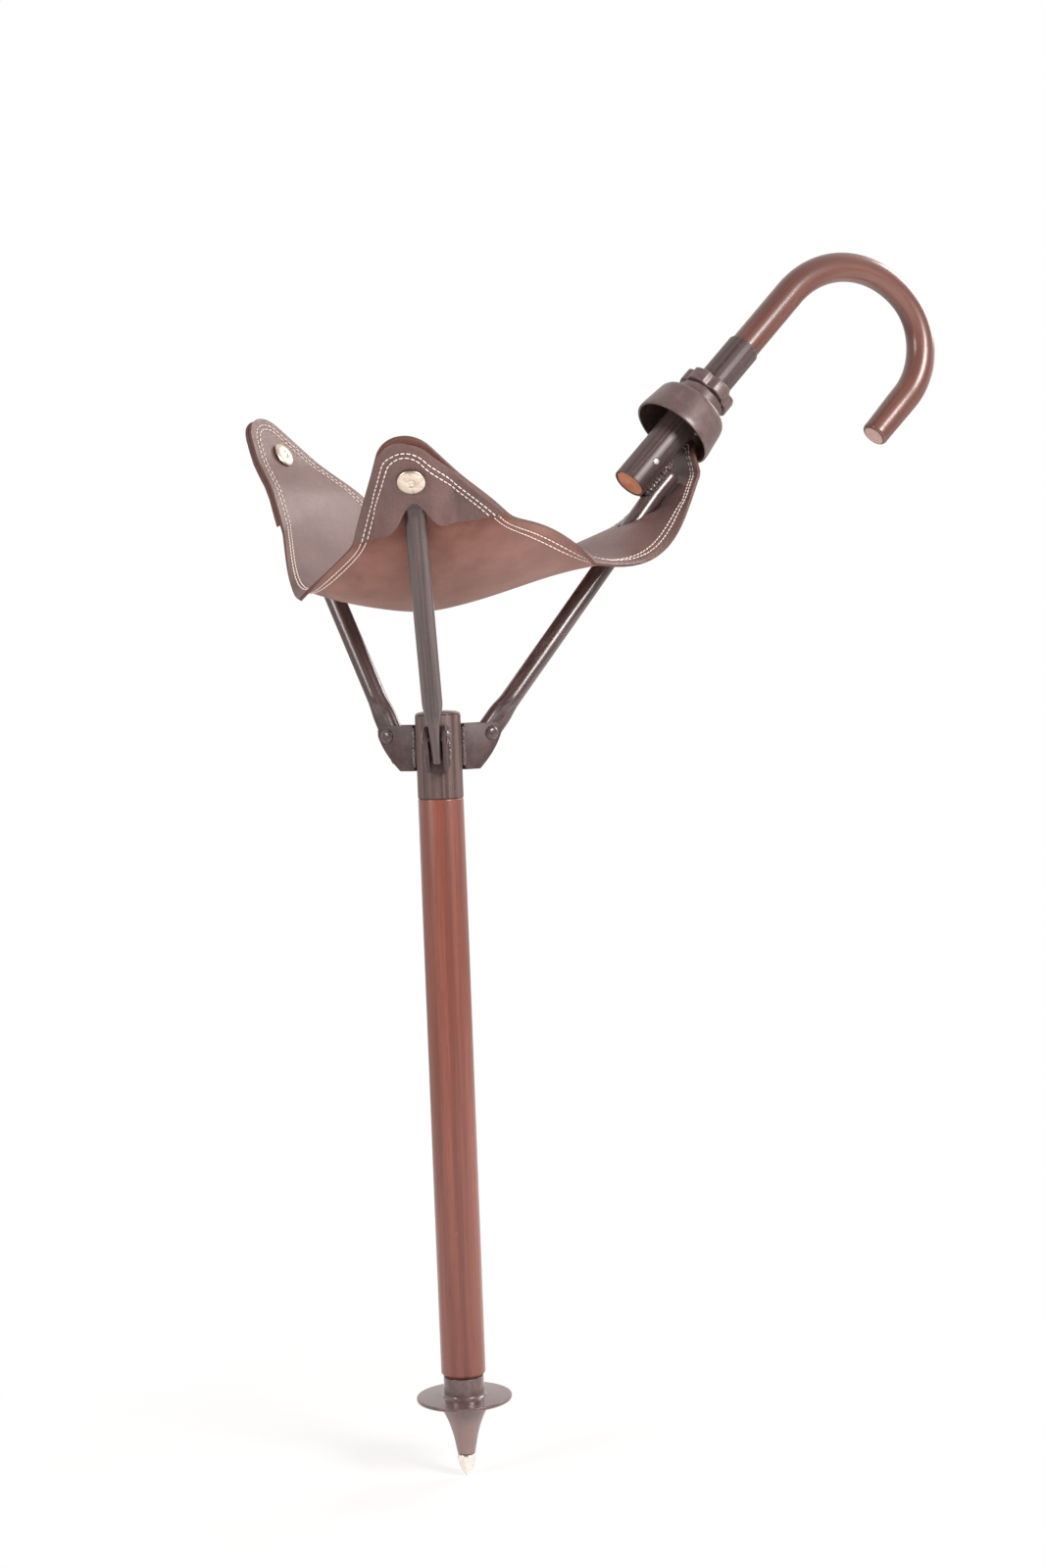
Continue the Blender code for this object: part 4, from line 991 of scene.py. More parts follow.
crook_length = CROOK_SPRING - TUBE_TOP - GAP + math.pi / 2 * (CROOK_RISE_R + CROOK_FALL_R) + CROOK_TIP
crook_rings, crook_lay = [], []
ends = [crook_length - TIP_EASE * (1 - math.sin(a)) for a in np.linspace(0, math.pi / 2, 7)]
for s in [*np.linspace(0, crook_length - TIP_EASE, CROOK_CELLS)[:-1], *ends]:
    (x0, z0), (hx, hz) = crook_place(float(s))
    radius = CROOK_R - CROOK_WAIST * hx**4
    radius += (CROOK_TIP_R - CROOK_R) * smooth(crook_length - CROOK_TIP, crook_length, s)
    past = max(0.0, s - (crook_length - TIP_EASE))
    radius -= TIP_EASE - math.sqrt(max(0.0, TIP_EASE**2 - past**2))
    ring = []
    for c, q in circle(CROOK_SIDES):
        out, across = radius * c, radius * q
        ring.append((x0 + out * hz, across, z0 - out * hx))
        crook_lay.append((out, across, s))
    crook_rings.append(ring)
rod = skin(crook_rings)
rod.faces.ensure_lookup_table()
rod.faces[-1].material_index = 1
piece("bent_crook", rod, [bent_wood, end_wood_painted_reflection], "handle_arm", "crook", on_tube, crook_lay)
print("crook:", round(1000 * crook_length), "mm of rod past the tube")

# %% [markdown]
# A small steel pin locks the crook in its tube, and two weld beads lie in the crevices between tube and
# arm. The pin's head is turned and set sideways, and the beads are made as those on the head were.

# %% Pin and handle welds
PIN_HEIGHT = 0.2070
PIN_R = 0.0013
PIN_FOOT = 0.004
HANDLE_BEAD_R = 0.0030

pin_top = TUBE_R + GAP
pin = [(0, pin_top + 0.0008), (0.0017, pin_top + 0.0006), (0.0024, pin_top)]
pin += [(PIN_R, pin_top), (PIN_R, PIN_FOOT), (0, PIN_FOOT)]
sideways = on_tube @ Matrix.Translation((0, 0, PIN_HEIGHT)) @ Matrix.Rotation(RIGHT_ANGLE, 4, "X")
piece("tube_pin", lathe(pin, 0.0004, 24), [steel], "handle_arm", "handle_pin", sideways)
for sign, hand in ((1, "a"), (-1, "b")):
    crevice = (TUBE_R - HINGE_RADIUS + 0.0006, sign * 0.0042)
    path = [(*crevice, TUBE_FOOT + 0.0015), (*crevice, HANDLE_ARM_TOP - 0.002)]
    bead("weld_tube_" + hand, path, HANDLE_BEAD_R, 7, "handle_arm", hinge_frame["handle"])
print("pin:", 1000 * PIN_HEIGHT, "mm up the handle arm")

# %% [markdown]
# The cup slides on the handle tube and drops over the tips of the folded seat to hold it shut. It is a
# moulded bell with a neck, below a lobed ring that gives the fingers a grip. The bell is turned. The
# ring is not round, so its rings of points are pulled in at six notches.

# %% Cup and grip ring
CUP_RIM = 0.2344
CUP_R = 0.0274
CUP_SHOULDER_R = 0.0250
CUP_WALL = 0.0016
CUP_DEPTH = 0.0212
NECK_FOOT = 0.0247
NECK_TOP = 0.0337
NECK_R = 0.0165
CUP_BORE_R = TUBE_R + 0.0004
GRIP_R = 0.0185
GRIP_LENGTH = 0.0094
GRIP_LOBES = 6
GRIP_STEPS = 16 * GRIP_LOBES
GRIP_NOTCH = 0.0022
GRIP_EASE = 0.0009
NECK_FILLET = 0.0012
SHOULDER_EDGE = 0.0038

cup = [(CUP_BORE_R, NECK_TOP), (NECK_R, NECK_TOP)]
cup += [(NECK_R, NECK_FOOT + NECK_FILLET), (NECK_R + NECK_FILLET, NECK_FOOT)]
cup += [(CUP_SHOULDER_R - SHOULDER_EDGE, NECK_FOOT - GAP)]
cup += [(CUP_SHOULDER_R - 0.3 * SHOULDER_EDGE, NECK_FOOT - 0.3 * SHOULDER_EDGE)]
cup += [(CUP_SHOULDER_R, NECK_FOOT - SHOULDER_EDGE)]
cup += [(CUP_R, 0.15 * CUP_DEPTH), (CUP_R, 0), (CUP_R - CUP_WALL, 0), (CUP_R - CUP_WALL, 0.15 * CUP_DEPTH)]
cup += [(CUP_SHOULDER_R - CUP_WALL, CUP_DEPTH), (CUP_BORE_R, CUP_DEPTH)]
on_rim = on_tube @ Matrix.Translation((0, 0, CUP_RIM))
piece("bell_cup", lathe(cup, 0.0016, closed=True), [plastic], "cup_slide", "cup", on_rim)


def lobed_ring(shrink, height):
    points = []
    for k, (c, s) in enumerate(circle(GRIP_STEPS)):
        notch = max(0.0, math.cos(GRIP_LOBES * math.tau * k / GRIP_STEPS)) ** 2
        radius = GRIP_R - GRIP_NOTCH * notch - shrink
        points.append((radius * c, radius * s, height))
    return points


def bore_ring(height):
    return [(CUP_BORE_R * c, CUP_BORE_R * s, height) for c, s in circle(GRIP_STEPS)]


round_over = [(1 - math.sin(a), 1 - math.cos(a)) for a in np.linspace(0, math.pi / 2, 5)]
round_over = [(GRIP_EASE * shrink, GRIP_EASE * rise) for shrink, rise in round_over]
grip_rings = [bore_ring(0.0)]
grip_rings += [lobed_ring(shrink, rise) for shrink, rise in round_over]
grip_rings += [lobed_ring(shrink, GRIP_LENGTH - rise) for shrink, rise in round_over[::-1]]
grip_rings.append(bore_ring(GRIP_LENGTH))
above_neck = on_rim @ Matrix.Translation((0, 0, NECK_TOP + GAP))
piece("lobed_grip", skin(grip_rings, closed=True), [plastic], "cup_slide", "grip_ring", above_neck)
print("cup:", round(2000 * CUP_R, 1), "mm across the rim")

# %% [markdown]
# The sling is one three-cornered piece of hide. Each corner's third is drawn in flat pattern coordinates,
# x from the sheet's middle out to the corner and y across it. A strip of each corner lies along its arm,
# turned a little about its snap, so a few functions lead from the pattern to the arm and back.

# %% The strips along the arms
INRADIUS = 0.118
APEX = 2 * INRADIUS
CORNER_R = 0.020
ARC_CENTRE = APEX - 2 * CORNER_R
TIP = APEX - CORNER_R
DRAPE = 0.0060
TUCK = 0.0105
# Each snap: its x in the pattern, its place up the arm
SNAP = {"handle": (0.170, 0.1985), "left": (0.188, 0.196), "front": (0.192, 0.196)}
# Each strip: degrees turned about the snap, share of its flat width, shift across
STRIP = {"handle": (-9, 0.80, 0.0), "left": (-18, 1.0, 0.003), "front": (11, 0.89, -0.0015)}


def arm_axes(side):
    """Hinge, up the arm, away from the stick, across."""
    matrix = np.array(hinge_frame[side])
    return matrix[:3, 3], matrix[:3, 2], matrix[:3, 0], matrix[:3, 1]


def arm_clear(t):
    """From the arm's axis to the middle of leather that lies on it."""
    press = smooth(SPADE_FOOT - SPADE_EASE - DRAPE, SPADE_FOOT + 2.5 * DRAPE, t)
    return ARM_R + (SPADE_THICK / 2 - ARM_R) * press + LEATHER / 2 + GAP + 0.2 * DRAPE * (1 - press)


def strip_turn(side):
    turn = math.radians(STRIP[side][0])
    return math.cos(turn), math.sin(turn)


def on_arm(side, x, y):
    """A pattern point as (up the arm, across it)."""
    snap_x, reach = SNAP[side]
    c, s = strip_turn(side)
    y = y * STRIP[side][1] + STRIP[side][2]
    return reach + (x - snap_x) * c + y * s, y * c - (x - snap_x) * s


def in_pattern(side, t, v):
    """The pattern point at t up the arm and v across it."""
    snap_x, reach = SNAP[side]
    c, s = strip_turn(side)
    y = v * c + (t - reach) * s
    return snap_x + (t - reach) * c - v * s, (y - STRIP[side][2]) / STRIP[side][1]


def strip_point(side, x, y):
    """A corner of the sling, where it lies along its arm."""
    hinge, along, away, across = arm_axes(side)
    t, v = on_arm(side, x, y)
    lift = -arm_clear(t)
    if side == "handle":
        lift = ARM_X + ARM_R + LEATHER / 2 + 2 * GAP - TUCK * smooth(HANDLE_ARM_TOP + DRAPE, CUP_RIM, t)
    return hinge + along * t + away * lift + across * v


print("sling: flat sides", round(2000 * math.sqrt(3) * INRADIUS), "mm before the corners are rounded")

# %% [markdown]
# Inwards of the strips, a parabola runs across each third from border to border through a spine, and a
# few rounds of smoothing will let the hide settle between them. A cloth simulation would sag it too far:
# saddle leather is stiff and holds the shape it was sat into.

# %% How the sling hangs
MIDDLE = np.array([-0.006, -0.009, HINGE_Z + 0.0758])
SKY = np.array([0.0, 0.0, 1.0])
# The dip in each edge of the sheet: metres out from the middle, heading in degrees, metres up
DIP = {
    "front_handle": (0.109, -52.4, 0.0245),
    "front_left": (0.0902, 183.8, 0.0095),
    "left_handle": (0.1127, 49.0, 0.0175),
}
DIP_POWER = 1.3
# Each spine: its slope as it leaves the middle, and as it comes to the strip
SPINE = {"handle": (0.25, 0.36), "left": (0.0, 2.20), "front": (0.0, 1.17)}
STRIP_START = {"handle": 0.160, "left": 0.146, "front": 0.146}
EDGES = {
    "handle": {1: "left_handle", -1: "front_handle"},
    "left": {1: "front_left", -1: "left_handle"},
    "front": {1: "front_handle", -1: "front_left"},
}
# Each edge up to its strip: how far it runs on, how it climbs, how hard the strip holds it
EDGE_RUN = {
    "handle": {"left_handle": (1.5, 0.30, 0.8), "front_handle": (2.9, -0.04, 1.3)},
    "left": {"front_left": (0.5, 0.1, 0.2), "left_handle": (1.0, 0.0, 1.0)},
    "front": {"front_handle": (1.8, 0.45, 0.3), "front_left": (0.8, 0.45, 0.1)},
}


def level_unit(turn):
    return np.array([math.cos(turn), math.sin(turn), 0.0])


def half_width(x):
    return (APEX - x) / math.sqrt(3)


def spine_point(side, x):
    """From the sheet's middle up to where it meets its arm."""
    start = STRIP_START[side]
    leave_slope, arrive_slope = SPINE[side]
    foot = strip_point(side, start, 0.0)
    reach = np.linalg.norm(foot - MIDDLE) / 3
    leave = MIDDLE + (level_unit(TURN[side]) + SKY * leave_slope) * reach
    heading = level_unit(TURN[side]) + SKY * arrive_slope
    arrive = foot - heading / np.linalg.norm(heading) * reach
    s = x / start
    return (1 - s) ** 3 * MIDDLE + 3 * s * (1 - s) ** 2 * leave + 3 * s * s * (1 - s) * arrive + s**3 * foot


def border_point(side, sign, x):
    """Out to the dip in the sheet's edge, then up that edge to the strip."""
    edge = EDGES[side][sign]
    reach, degrees, lift = DIP[edge]
    turn = math.radians(degrees)
    middle = INRADIUS / 2
    if x <= middle:
        s = x / middle
        return MIDDLE + level_unit(turn) * reach * s + SKY * lift * s**DIP_POWER
    dip = MIDDLE + level_unit(turn) * reach + SKY * lift
    start, step = STRIP_START[side], 0.01 * STRIP_START[side]
    foot = strip_point(side, start, sign * half_width(start))
    run, climb, hold = EDGE_RUN[side][edge]
    slope = (strip_point(side, start + step, sign * half_width(start + step)) - foot) * hold / step
    leave = (level_unit(turn - sign * math.pi / 2) + SKY * climb) * run * 2 / math.sqrt(3)
    span = start - middle
    s = (x - middle) / span
    rise = s * s * (3 - 2 * s)
    return dip * (1 - rise) + foot * rise + leave * span * s * (1 - s) ** 2 - slope * span * s * s * (1 - s)


def seat_point(side, x, y):
    if x >= STRIP_START[side]:
        return strip_point(side, x, y)
    spine = spine_point(side, x)
    if x <= 0:
        return spine
    left, right = border_point(side, 1, x), border_point(side, -1, x)
    share = y / min(math.sqrt(3) * x, half_width(x))
    return spine + (left - right) / 2 * share + ((left + right) / 2 - spine) * share**2


def edge_distance(x, y):
    """How far a pattern point is inside the cut edge."""
    if x > ARC_CENTRE + CORNER_R / 2:
        return CORNER_R - math.hypot(x - ARC_CENTRE, y)
    return (half_width(x) - abs(y)) * math.sqrt(3) / 2


def whole_pattern(side, x, y):
    """The same point in the flat pattern of the whole sheet."""
    c, s = math.cos(TURN[side]), math.sin(TURN[side])
    return x * c - y * s, x * s + y * c


print("sling: its middle hangs", round(1000 * MIDDLE[2]), "mm above the ground")

# %% [markdown]
# The sheet is made as a grid over each third, welded along the borders and smoothed as the solid was. The
# grid is finer here, and smoothing works cell by cell, so it takes more rounds for the same ease.

# %% The settled middle of the hide
SEAT_CELLS = 44
CROWDING = 0.75
SOLID_CELLS = 13
SOLID_ROUNDS = 4
GRID_WELD = 0.00001
RELAX_ROUNDS = round(SOLID_ROUNDS * (SEAT_CELLS / SOLID_CELLS) ** 2)
SIDES = list(TURN)


def flat_point(i, j):
    """A third of the pattern as a kite: (0, 0) is the middle, the last point is the rounded tip."""
    u, v = (i / SEAT_CELLS) ** CROWDING, (j / SEAT_CELLS) ** CROWDING
    x = INRADIUS / 2 * (u + v) + INRADIUS * u * v
    y = math.sqrt(3) * INRADIUS / 2 * (u - v)
    far = math.hypot(x - ARC_CENTRE, y)
    if x > ARC_CENTRE + CORNER_R / 2 and far > CORNER_R:
        return ARC_CENTRE + (x - ARC_CENTRE) * CORNER_R / far, y * CORNER_R / far
    return x, y


def hide_mesh():
    """A mesh whose points know their flat pattern and how far they are from the cut edge."""
    bm = bmesh.new()
    bm.verts.layers.float_vector.new("lay")
    bm.verts.layers.float.new("edge")
    return bm


def hide_vert(bm, place, side, x, y):
    """The pattern point (x, y) of a third, set at a place in the air."""
    vert = bm.verts.new(place)
    vert[bm.verts.layers.float_vector["lay"]] = Vector((*whole_pattern(side, x, y), 0))
    vert[bm.verts.layers.float["edge"]] = max(0.0, edge_distance(x, y))
    return vert


def weave(bm, grid):
    """Faces between the rows of a grid of points."""
    faces = []
    for low, high in zip(grid, grid[1:]):
        faces += [bm.faces.new(corners) for corners in zip(low, high, high[1:], low[1:])]
    return faces


seat_bm = hide_mesh()
held = seat_bm.verts.layers.int.new("held")
third = seat_bm.faces.layers.int.new("third")
for index, side in enumerate(SIDES):
    grid = []
    for i in range(SEAT_CELLS + 1):
        row = []
        for j in range(SEAT_CELLS + 1):
            x, y = flat_point(i, j)
            vert = hide_vert(seat_bm, seat_point(side, x, y), side, x, y)
            vert[held] = x >= STRIP_START[side]
            row.append(vert)
        grid.append(row)
    for face in weave(seat_bm, grid):
        face[third] = index
bmesh.ops.remove_doubles(seat_bm, verts=seat_bm.verts, dist=GRID_WELD)
bmesh.ops.recalc_face_normals(seat_bm, faces=seat_bm.faces)
seat_bm.normal_update()
if sum(face.normal.z for face in seat_bm.faces) < 0:
    bmesh.ops.reverse_faces(seat_bm, faces=seat_bm.faces)
free = [vert for vert in seat_bm.verts if not vert[held] and not vert.is_boundary]
every_way = {"use_axis_x": True, "use_axis_y": True, "use_axis_z": True}
for _ in range(RELAX_ROUNDS):
    bmesh.ops.smooth_vert(seat_bm, verts=free, factor=0.5, **every_way)
seat_bm.normal_update()
print("sling:", len(seat_bm.verts), "points,", RELAX_ROUNDS, "rounds of smoothing")

# %% [markdown]
# Later pieces, such as stitches, have to land on the settled hide. A twin of the grid laid out flat gives
# the way from a pattern point to a place in the air: find the flat triangle that holds the point, and
# carry the point over to the same triangle of the hide.

# %% From the flat pattern to the hung hide
seat_bm.verts.index_update()
lay_layer = seat_bm.verts.layers.float_vector["lay"]
triangles = []
for face in seat_bm.faces:
    a, b, c, d = face.verts
    triangles += [(a.index, b.index, c.index), (a.index, c.index, d.index)]
flat_spots = [vert[lay_layer].copy() for vert in seat_bm.verts]
hung_spots = [vert.co.copy() for vert in seat_bm.verts]
hung_normals = [vert.normal.copy() for vert in seat_bm.verts]
flat_twin = BVHTree.FromPolygons(flat_spots, triangles)


def on_hide(side, x, y):
    """Place and upward normal of a pattern point on the middle of the hide."""
    spot, _, index, _ = flat_twin.find_nearest(Vector((*whole_pattern(side, x, y), 0)))
    corners = triangles[index]
    flat = [flat_spots[k] for k in corners]
    place = barycentric_transform(spot, *flat, *[hung_spots[k] for k in corners])
    normal = barycentric_transform(spot, *flat, *[hung_normals[k] for k in corners])
    return place, normal.normalized()


print("flat twin:", len(triangles), "triangles")

# %% [markdown]
# Thickness comes from a Solidify modifier, which can give the back and the rim their own finishes, and a
# Bevel rounds the rim. The handle arm comes up through a slot, which a Boolean cuts. Slivers that the cut
# leaves are merged away. The normals of the whole sheet are kept for later.

# %% Thickness and the slot
SLOT_R = ARM_R + 0.0012
SLOT_LENGTH = 0.090
SLOT_PAST_BEND = 0.006
SLOT_STEPS = 32
RIM_EASE = 0.0006
RIM_ANGLE = math.radians(60)
SLIVER = 0.00003


def thickened(hide, even):
    """Gives a sheet of hide its finishes, its thickness and a rounded rim."""
    dress(hide, HIDE)
    thick = hide.modifiers.new("Thickness", "SOLIDIFY")
    thick.thickness = LEATHER
    thick.offset = 0.0
    thick.use_even_offset = even
    thick.material_offset = BACK
    thick.material_offset_rim = RIND
    rim_ease = rounded(hide, RIM_EASE)
    rim_ease.limit_method = "ANGLE"
    rim_ease.angle_limit = RIM_ANGLE
    rim_ease.material = RIND


sheet = as_object("sheet", seat_bm)
thickened(sheet, True)
bend_at = ARM_BEND / math.cos(ARM_LEAN) + SLOT_PAST_BEND - SLOT_LENGTH / 2
slot_place = Matrix.Translation((-bend_at * math.sin(ARM_LEAN), 0, bend_at * math.cos(ARM_LEAN)))
slot_place = hinge_frame["handle"] @ slot_place @ Matrix.Rotation(-ARM_LEAN, 4, "Y")
rod_size = {"segments": SLOT_STEPS, "radius1": SLOT_R, "radius2": SLOT_R, "depth": SLOT_LENGTH}
slot_bm = bmesh.new()
bmesh.ops.create_cone(slot_bm, cap_ends=True, matrix=slot_place, **rod_size)
for face in slot_bm.faces:
    face.material_index = RIND
arm_slot = as_object("arm_slot", slot_bm)
dress(arm_slot, HIDE)
cut_out(sheet, arm_slot)
whole_bm = applied(sheet)
bmesh.ops.dissolve_degenerate(whole_bm, dist=SLIVER, edges=whole_bm.edges)
bpy.data.objects.remove(arm_slot, do_unlink=True)
whole = bpy.data.meshes.new("whole_sheet")
whole_bm.to_mesh(whole)
whole_bm.free()
whole.shade_smooth()
whole.set_sharp_from_angle(angle=SHARP_ANGLE)
loop_normals = np.array([tuple(normal.vector) for normal in whole.corner_normals])
kept = whole.attributes.new("kept_normal", "FLOAT_VECTOR", "CORNER")
kept.data.foreach_set("vector", loop_normals.astype(np.float32).ravel())
print("sheet:", len(whole.polygons), "faces,", 1000 * LEATHER, "mm thick")

# %% [markdown]
# The sheet is split into its thirds, because a piece can bend across only one joint. Each third bends
# between the stick and its own arm, and the borders stay with the stick so that the thirds never part.
# The cuts are closed with flat walls, and the kept normals go back on, so the borders don't show.

# %% The three thirds
def fold_span(side):
    """Where a third starts and ends its bend: past the borders' reach, and before the strip."""
    hinge, along, _, _ = arm_axes(side)
    rims = [border_point(side, sign, x) for sign in (1, -1) for x in np.linspace(0, INRADIUS / 2, 9)]
    first = max(float(along @ (point - hinge)) for point in rims)
    start = STRIP_START[side]
    feet = [strip_point(side, start, sign * half_width(start)) for sign in (1, -1)]
    last = min(float(along @ (point - hinge)) for point in feet)
    return Vector(hinge + along * first), Vector(hinge + along * last)


def bend_with(obj, side):
    start, stop = fold_span(side)
    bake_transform(obj, "stick", BODY[side], start=start, end=stop)


def close_borders(bm):
    """Joins the upper and under edges of the cut between two thirds, so that a third is a closed sheet."""
    spots = bm.verts.layers.float_vector["lay"]
    pairs = {}
    for edge in bm.edges:
        if edge.is_boundary:
            first = edge.link_loops[0].vert
            ends = (edge.other_vert(first), first)
            key = tuple(sorted(tuple(round(value, 6) for value in vert[spots]) for vert in ends))
            pairs.setdefault(key, []).append(ends)
    for upper, *under in pairs.values():
        if len(under) == 1:
            corners = list(dict.fromkeys((*upper, *under[0])))
            if len(corners) > 2:
                bm.faces.new(corners).material_index = RIND
    left_open = [edge for edge in bm.edges if edge.is_boundary]
    for face in bmesh.ops.holes_fill(bm, edges=left_open, sides=0)["faces"]:
        face.material_index = RIND


for index, side in enumerate(SIDES):
    part = bmesh.new()
    part.from_mesh(whole)
    thirds = part.faces.layers.int["third"]
    others = [face for face in part.faces if face[thirds] != index]
    bmesh.ops.delete(part, geom=others, context="FACES")
    close_borders(part)
    sling = as_object("sling_" + side, part)
    dress(sling, HIDE)
    normals = np.zeros(len(sling.data.loops) * 3, np.float32)
    kept = sling.data.attributes["kept_normal"]
    kept.data.foreach_get("vector", normals)
    sling.data.normals_split_custom_set(normals.reshape(-1, 3).tolist())
    sling.data.attributes.remove(sling.data.attributes["kept_normal"])
    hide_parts("seat_sheet")
    bend_with(sling, side)
bpy.data.meshes.remove(whole)

# %% [markdown]
# A pocket is a second layer of hide sewn over each plain corner from below, grain outwards, with an arch
# in its hem where the flat end of the arm slides in. It lies on the arm in the middle and meets the sheet
# beside it, so its height is the arm's clearance near the axis and the sheet's own height further out.

# %% Pockets
POCKET_ARCH_RISE = 0.0285
POCKET_ARCH_WIDTH = 0.013
POCKET_HEM = 0.150
POCKET_RISE_WIDTH = 0.0235
POCKET_FLAT = SPADE_FLAT + SPADE_THICK / 2 + 0.001
POCKET_CLOSE = 0.009
POCKET_POINT_SHARE = 0.35
POCKET_END = ARM_LENGTH + POCKET_POINT_SHARE * POCKET_FLAT + 0.002
POCKET_COLUMNS = 48
POCKET_ROWS = 36
POCKET_TRIM = 0.994
MOST_OF_BOX = 0.99


def pocket_hem(side, v):
    snap_x, reach = SNAP[side]
    c, s = strip_turn(side)
    straight = reach + (POCKET_HEM - snap_x + v * s) / c
    return straight + POCKET_ARCH_RISE * math.exp(-((v / POCKET_ARCH_WIDTH) ** 2))


def inside(side, t, v):
    return edge_distance(*in_pattern(side, t, v)) > 0


def last_inside(test, low, high):
    """How far from low towards high the test still holds."""
    for _ in range(30):
        middle = (low + high) / 2
        if test(middle):
            low = middle
        else:
            high = middle
    return low


def pocket_point(t, v):
    """In the arm's own frame: out, across, up."""
    near = LEATHER + GAP + 0.03 * DRAPE - arm_clear(t)
    over = 1 - smooth(POCKET_FLAT, POCKET_RISE_WIDTH, abs(v))
    over *= 1 - smooth(POCKET_END, POCKET_END + POCKET_CLOSE, t + POCKET_POINT_SHARE * abs(v))
    return Vector((near + (arm_clear(t) - near) * over, v, t))


pockets = {}
for side in ("front", "left"):
    hem_inside = lambda v: inside(side, pocket_hem(side, v), v)
    ends = [last_inside(hem_inside, 0.0, sign * INRADIUS) for sign in (-1, 1)]
    bm = hide_mesh()
    grid = []
    for v in np.linspace(POCKET_TRIM * ends[0], POCKET_TRIM * ends[1], POCKET_COLUMNS + 1):
        v = float(v)
        low = pocket_hem(side, v)
        high = last_inside(lambda t: inside(side, t, v), low, 2 * ARM_LENGTH)
        row = []
        for s in np.linspace(0, 1, POCKET_ROWS + 1):
            t = low + (high - low) * float(s)
            place = hinge_frame[side] @ pocket_point(t, v)
            row.append(hide_vert(bm, place, side, *in_pattern(side, t, v)))
        grid.append(row)
    weave(bm, grid)
    bm.normal_update()
    away = Vector(arm_axes(side)[2])
    if sum(face.normal.dot(away) for face in bm.faces) < 0:
        bmesh.ops.reverse_faces(bm, faces=bm.faces)
    flap = as_object("pocket", bm)
    thickened(flap, False)
    bm = applied(flap)
    area = sum(face.calc_area() for face in bm.faces) / 2
    spots = bm.verts.layers.float_vector["lay"]
    flat_lay = [vert[spots].copy() for vert in bm.verts]
    bm.verts.layers.float_vector.remove(spots)
    made = piece("sewn_pocket_" + side, bm, HIDE, BODY[side], "pocket_" + side, lay=flat_lay)
    pockets[side] = made
    size = (ends[1] - ends[0], TIP - POCKET_HEM)
    # The flat area is read off the hung mesh, so its measured share is about 1 whatever the shape
    sheet_area = min(area, MOST_OF_BOX * size[0] * size[1])
    print("pocket", side, round(1e4 * area, 1), "square cm, hem", round(1000 * size[0]), "mm")

# %% [markdown]
# Two rows of cream thread run round the whole sheet, above and below. A row is known in the flat pattern,
# so each of its points is carried over to the hide, or to the pocket's hide where a pocket lies below.

# %% Stitch rows
THREAD_R = 0.00036
SLOPE_STEP = 0.0005
ROW_STRAIGHT = ARC_CENTRE * math.sqrt(3) / 2


def row_point(inset, s):
    """A stitch row in the pattern, s along it from one border of the third to the other."""
    radius = CORNER_R - inset
    arc = radius * math.tau / 3
    if s > ROW_STRAIGHT + arc / 2:
        x, y = row_point(inset, 2 * ROW_STRAIGHT + arc - s)
        return x, -y
    if s <= ROW_STRAIGHT:
        return (INRADIUS - inset) / 2 + s * math.sqrt(3) / 2, (INRADIUS - inset) * math.sqrt(3) / 2 - s / 2
    a = math.radians(60) - (s - ROW_STRAIGHT) / radius
    return ARC_CENTRE + radius * math.cos(a), radius * math.sin(a)


def under_pocket(side, x, y):
    """Place and outward normal on a pocket's outer face, or None beside the pocket."""
    if side not in pockets:
        return None
    t, v = on_arm(side, x, y)
    if t < pocket_hem(side, v) + THREAD_R:
        return None
    up = pocket_point(t + SLOPE_STEP, v) - pocket_point(t - SLOPE_STEP, v)
    across = pocket_point(t, v + SLOPE_STEP) - pocket_point(t, v - SLOPE_STEP)
    normal = hinge_frame[side].to_3x3() @ across.cross(up).normalized()
    return hinge_frame[side] @ pocket_point(t, v), normal


def face_spot(side, x, y, face):
    """A point on the upper (1) or under (-1) face of the leather, and the way out of it."""
    if face < 0:
        spot = under_pocket(side, x, y)
        if spot:
            return spot[0] + spot[1] * LEATHER / 2, spot[1]
    place, normal = on_hide(side, x, y)
    return place + normal * face * LEATHER / 2, normal * face


def row_length(inset):
    return 2 * ROW_STRAIGHT + (CORNER_R - inset) * math.tau / 3


print("rows:", [round(1000 * row_length(inset)) for inset in STITCH_ROWS], "mm to a third")

# %% [markdown]
# A texture could draw the thread, but it would lie flat in a close view. Each stitch is a short bent rod
# that rises out of the hide and dips back in, and the grooves of the leather finish run under it. A
# third's stitches are one mesh, which bends with that third.

# %% Stitches
STITCH = 0.0037
STITCH_GAP = 0.0005
STITCH_SIDES = 6
# Along a stitch: share of its length, rise and width in thread radii
STITCH_SHAPE = [(0.0, -0.9, 0.55), (0.18, 0.25, 0.9), (0.5, 0.55, 1.0), (0.82, 0.25, 0.9), (1.0, -0.9, 0.55)]
LOOK_AHEAD = 0.0002


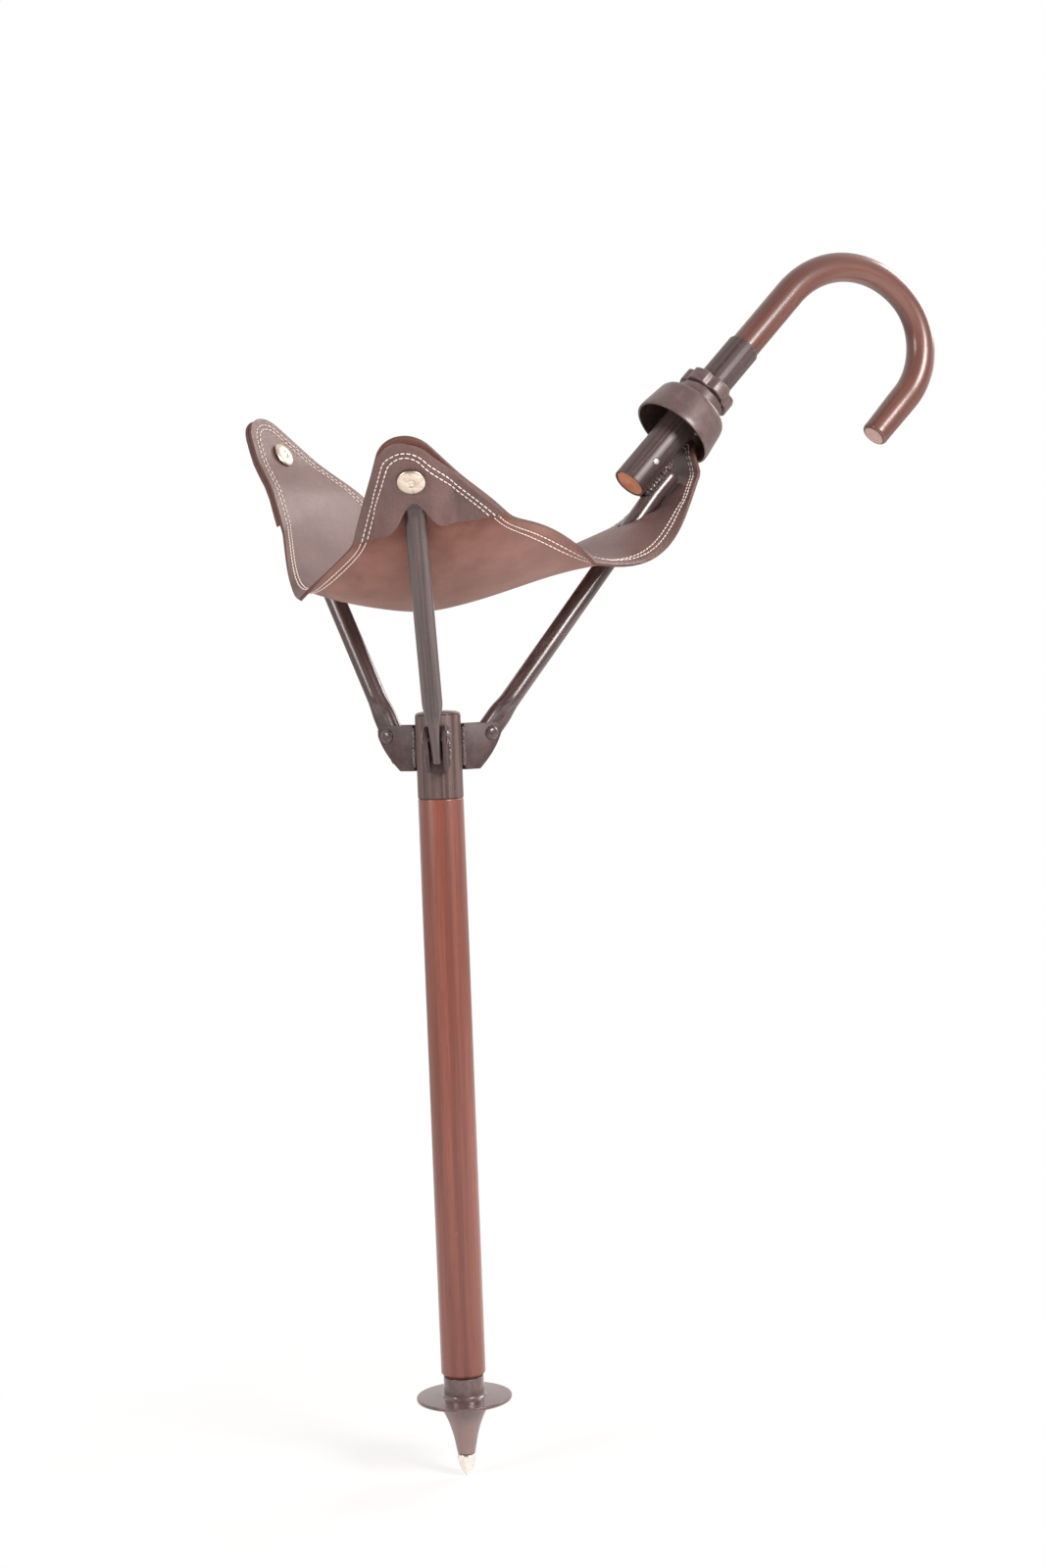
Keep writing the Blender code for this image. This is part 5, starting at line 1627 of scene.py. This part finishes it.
def sew(bm, lay, side, inset, start, face):
    """One stitch, added to the mesh and the lay of its third."""
    rings = []
    for share, rise, width in STITCH_SHAPE:
        s = start + share * (STITCH - STITCH_GAP)
        x, y = row_point(inset, s)
        place, out = face_spot(side, x, y, face)
        ahead = face_spot(side, *row_point(inset, s + LOOK_AHEAD), face)[0]
        along = (ahead - place).normalized()
        across = along.cross(out).normalized()
        middle = place + out * rise * THREAD_R
        ways = [across * c + out * q for c, q in circle(STITCH_SIDES)]
        rings.append([middle + way * THREAD_R * width for way in ways])
        flat = whole_pattern(side, x, y)
        lay += [(*flat, THREAD_R * math.tau * k / STITCH_SIDES) for k in range(STITCH_SIDES)]
    skin(rings, bm=bm)


for side in SIDES:
    bm = bmesh.new()
    lay = []
    for inset in STITCH_ROWS:
        length = row_length(inset)
        count = round(length / STITCH)
        for k in range(count):
            for face in (1, -1):
                sew(bm, lay, side, inset, length * k / count + STITCH_GAP / 2, face)
    stitches = piece("stitches_" + side, bm, [thread], lay=lay)
    bend_with(stitches, side)
print("stitches:", 4 * count, "to a third")

# %% [markdown]
# Domed nickel snaps pin the corners. The dome has a dimple in its middle, where the post was set. On the
# plain corners a head shows on both faces of the leather, and on the handle arm on one.

# %% Snaps
SNAP_R = 0.0080
SNAP_DOME = 0.0016
SNAP_STEPS = 48

dome = [(0, 0.55 * SNAP_DOME), (0.24 * SNAP_R, 0.55 * SNAP_DOME), (0.36 * SNAP_R, SNAP_DOME)]
dome += [(0.60 * SNAP_R, SNAP_DOME), (0.84 * SNAP_R, 0.72 * SNAP_DOME), (0.97 * SNAP_R, 0.32 * SNAP_DOME)]
dome += [(SNAP_R, 0), (0.95 * SNAP_R, -GAP), (0, -GAP)]


def snap(name, solid, side, face, quarter):
    """A domed head on an arm, at a distance from its axis, turned out or in."""
    place = Matrix.Translation((face, 0, SNAP[side][1])) @ Matrix.Rotation(quarter, 4, "Y")
    place = hinge_frame[side] @ place
    piece(name + side, lathe(dome, 0.0006, SNAP_STEPS), [nickel], BODY[side], solid + side, place)


for side in ("front", "left"):
    snap_face = arm_clear(SNAP[side][1] - SNAP_R) + LEATHER / 2 + GAP
    snap("snap_outer_", "snap_post_", side, snap_face, RIGHT_ANGLE)
    snap("snap_inner_", "snap_cap_", side, -snap_face - GAP, -RIGHT_ANGLE)
snap("snap_outer_", "snap_post_", "handle", ARM_X + ARM_R + LEATHER + 3 * GAP, RIGHT_ANGLE)
print("snaps: five heads", round(2000 * SNAP_R), "mm across")
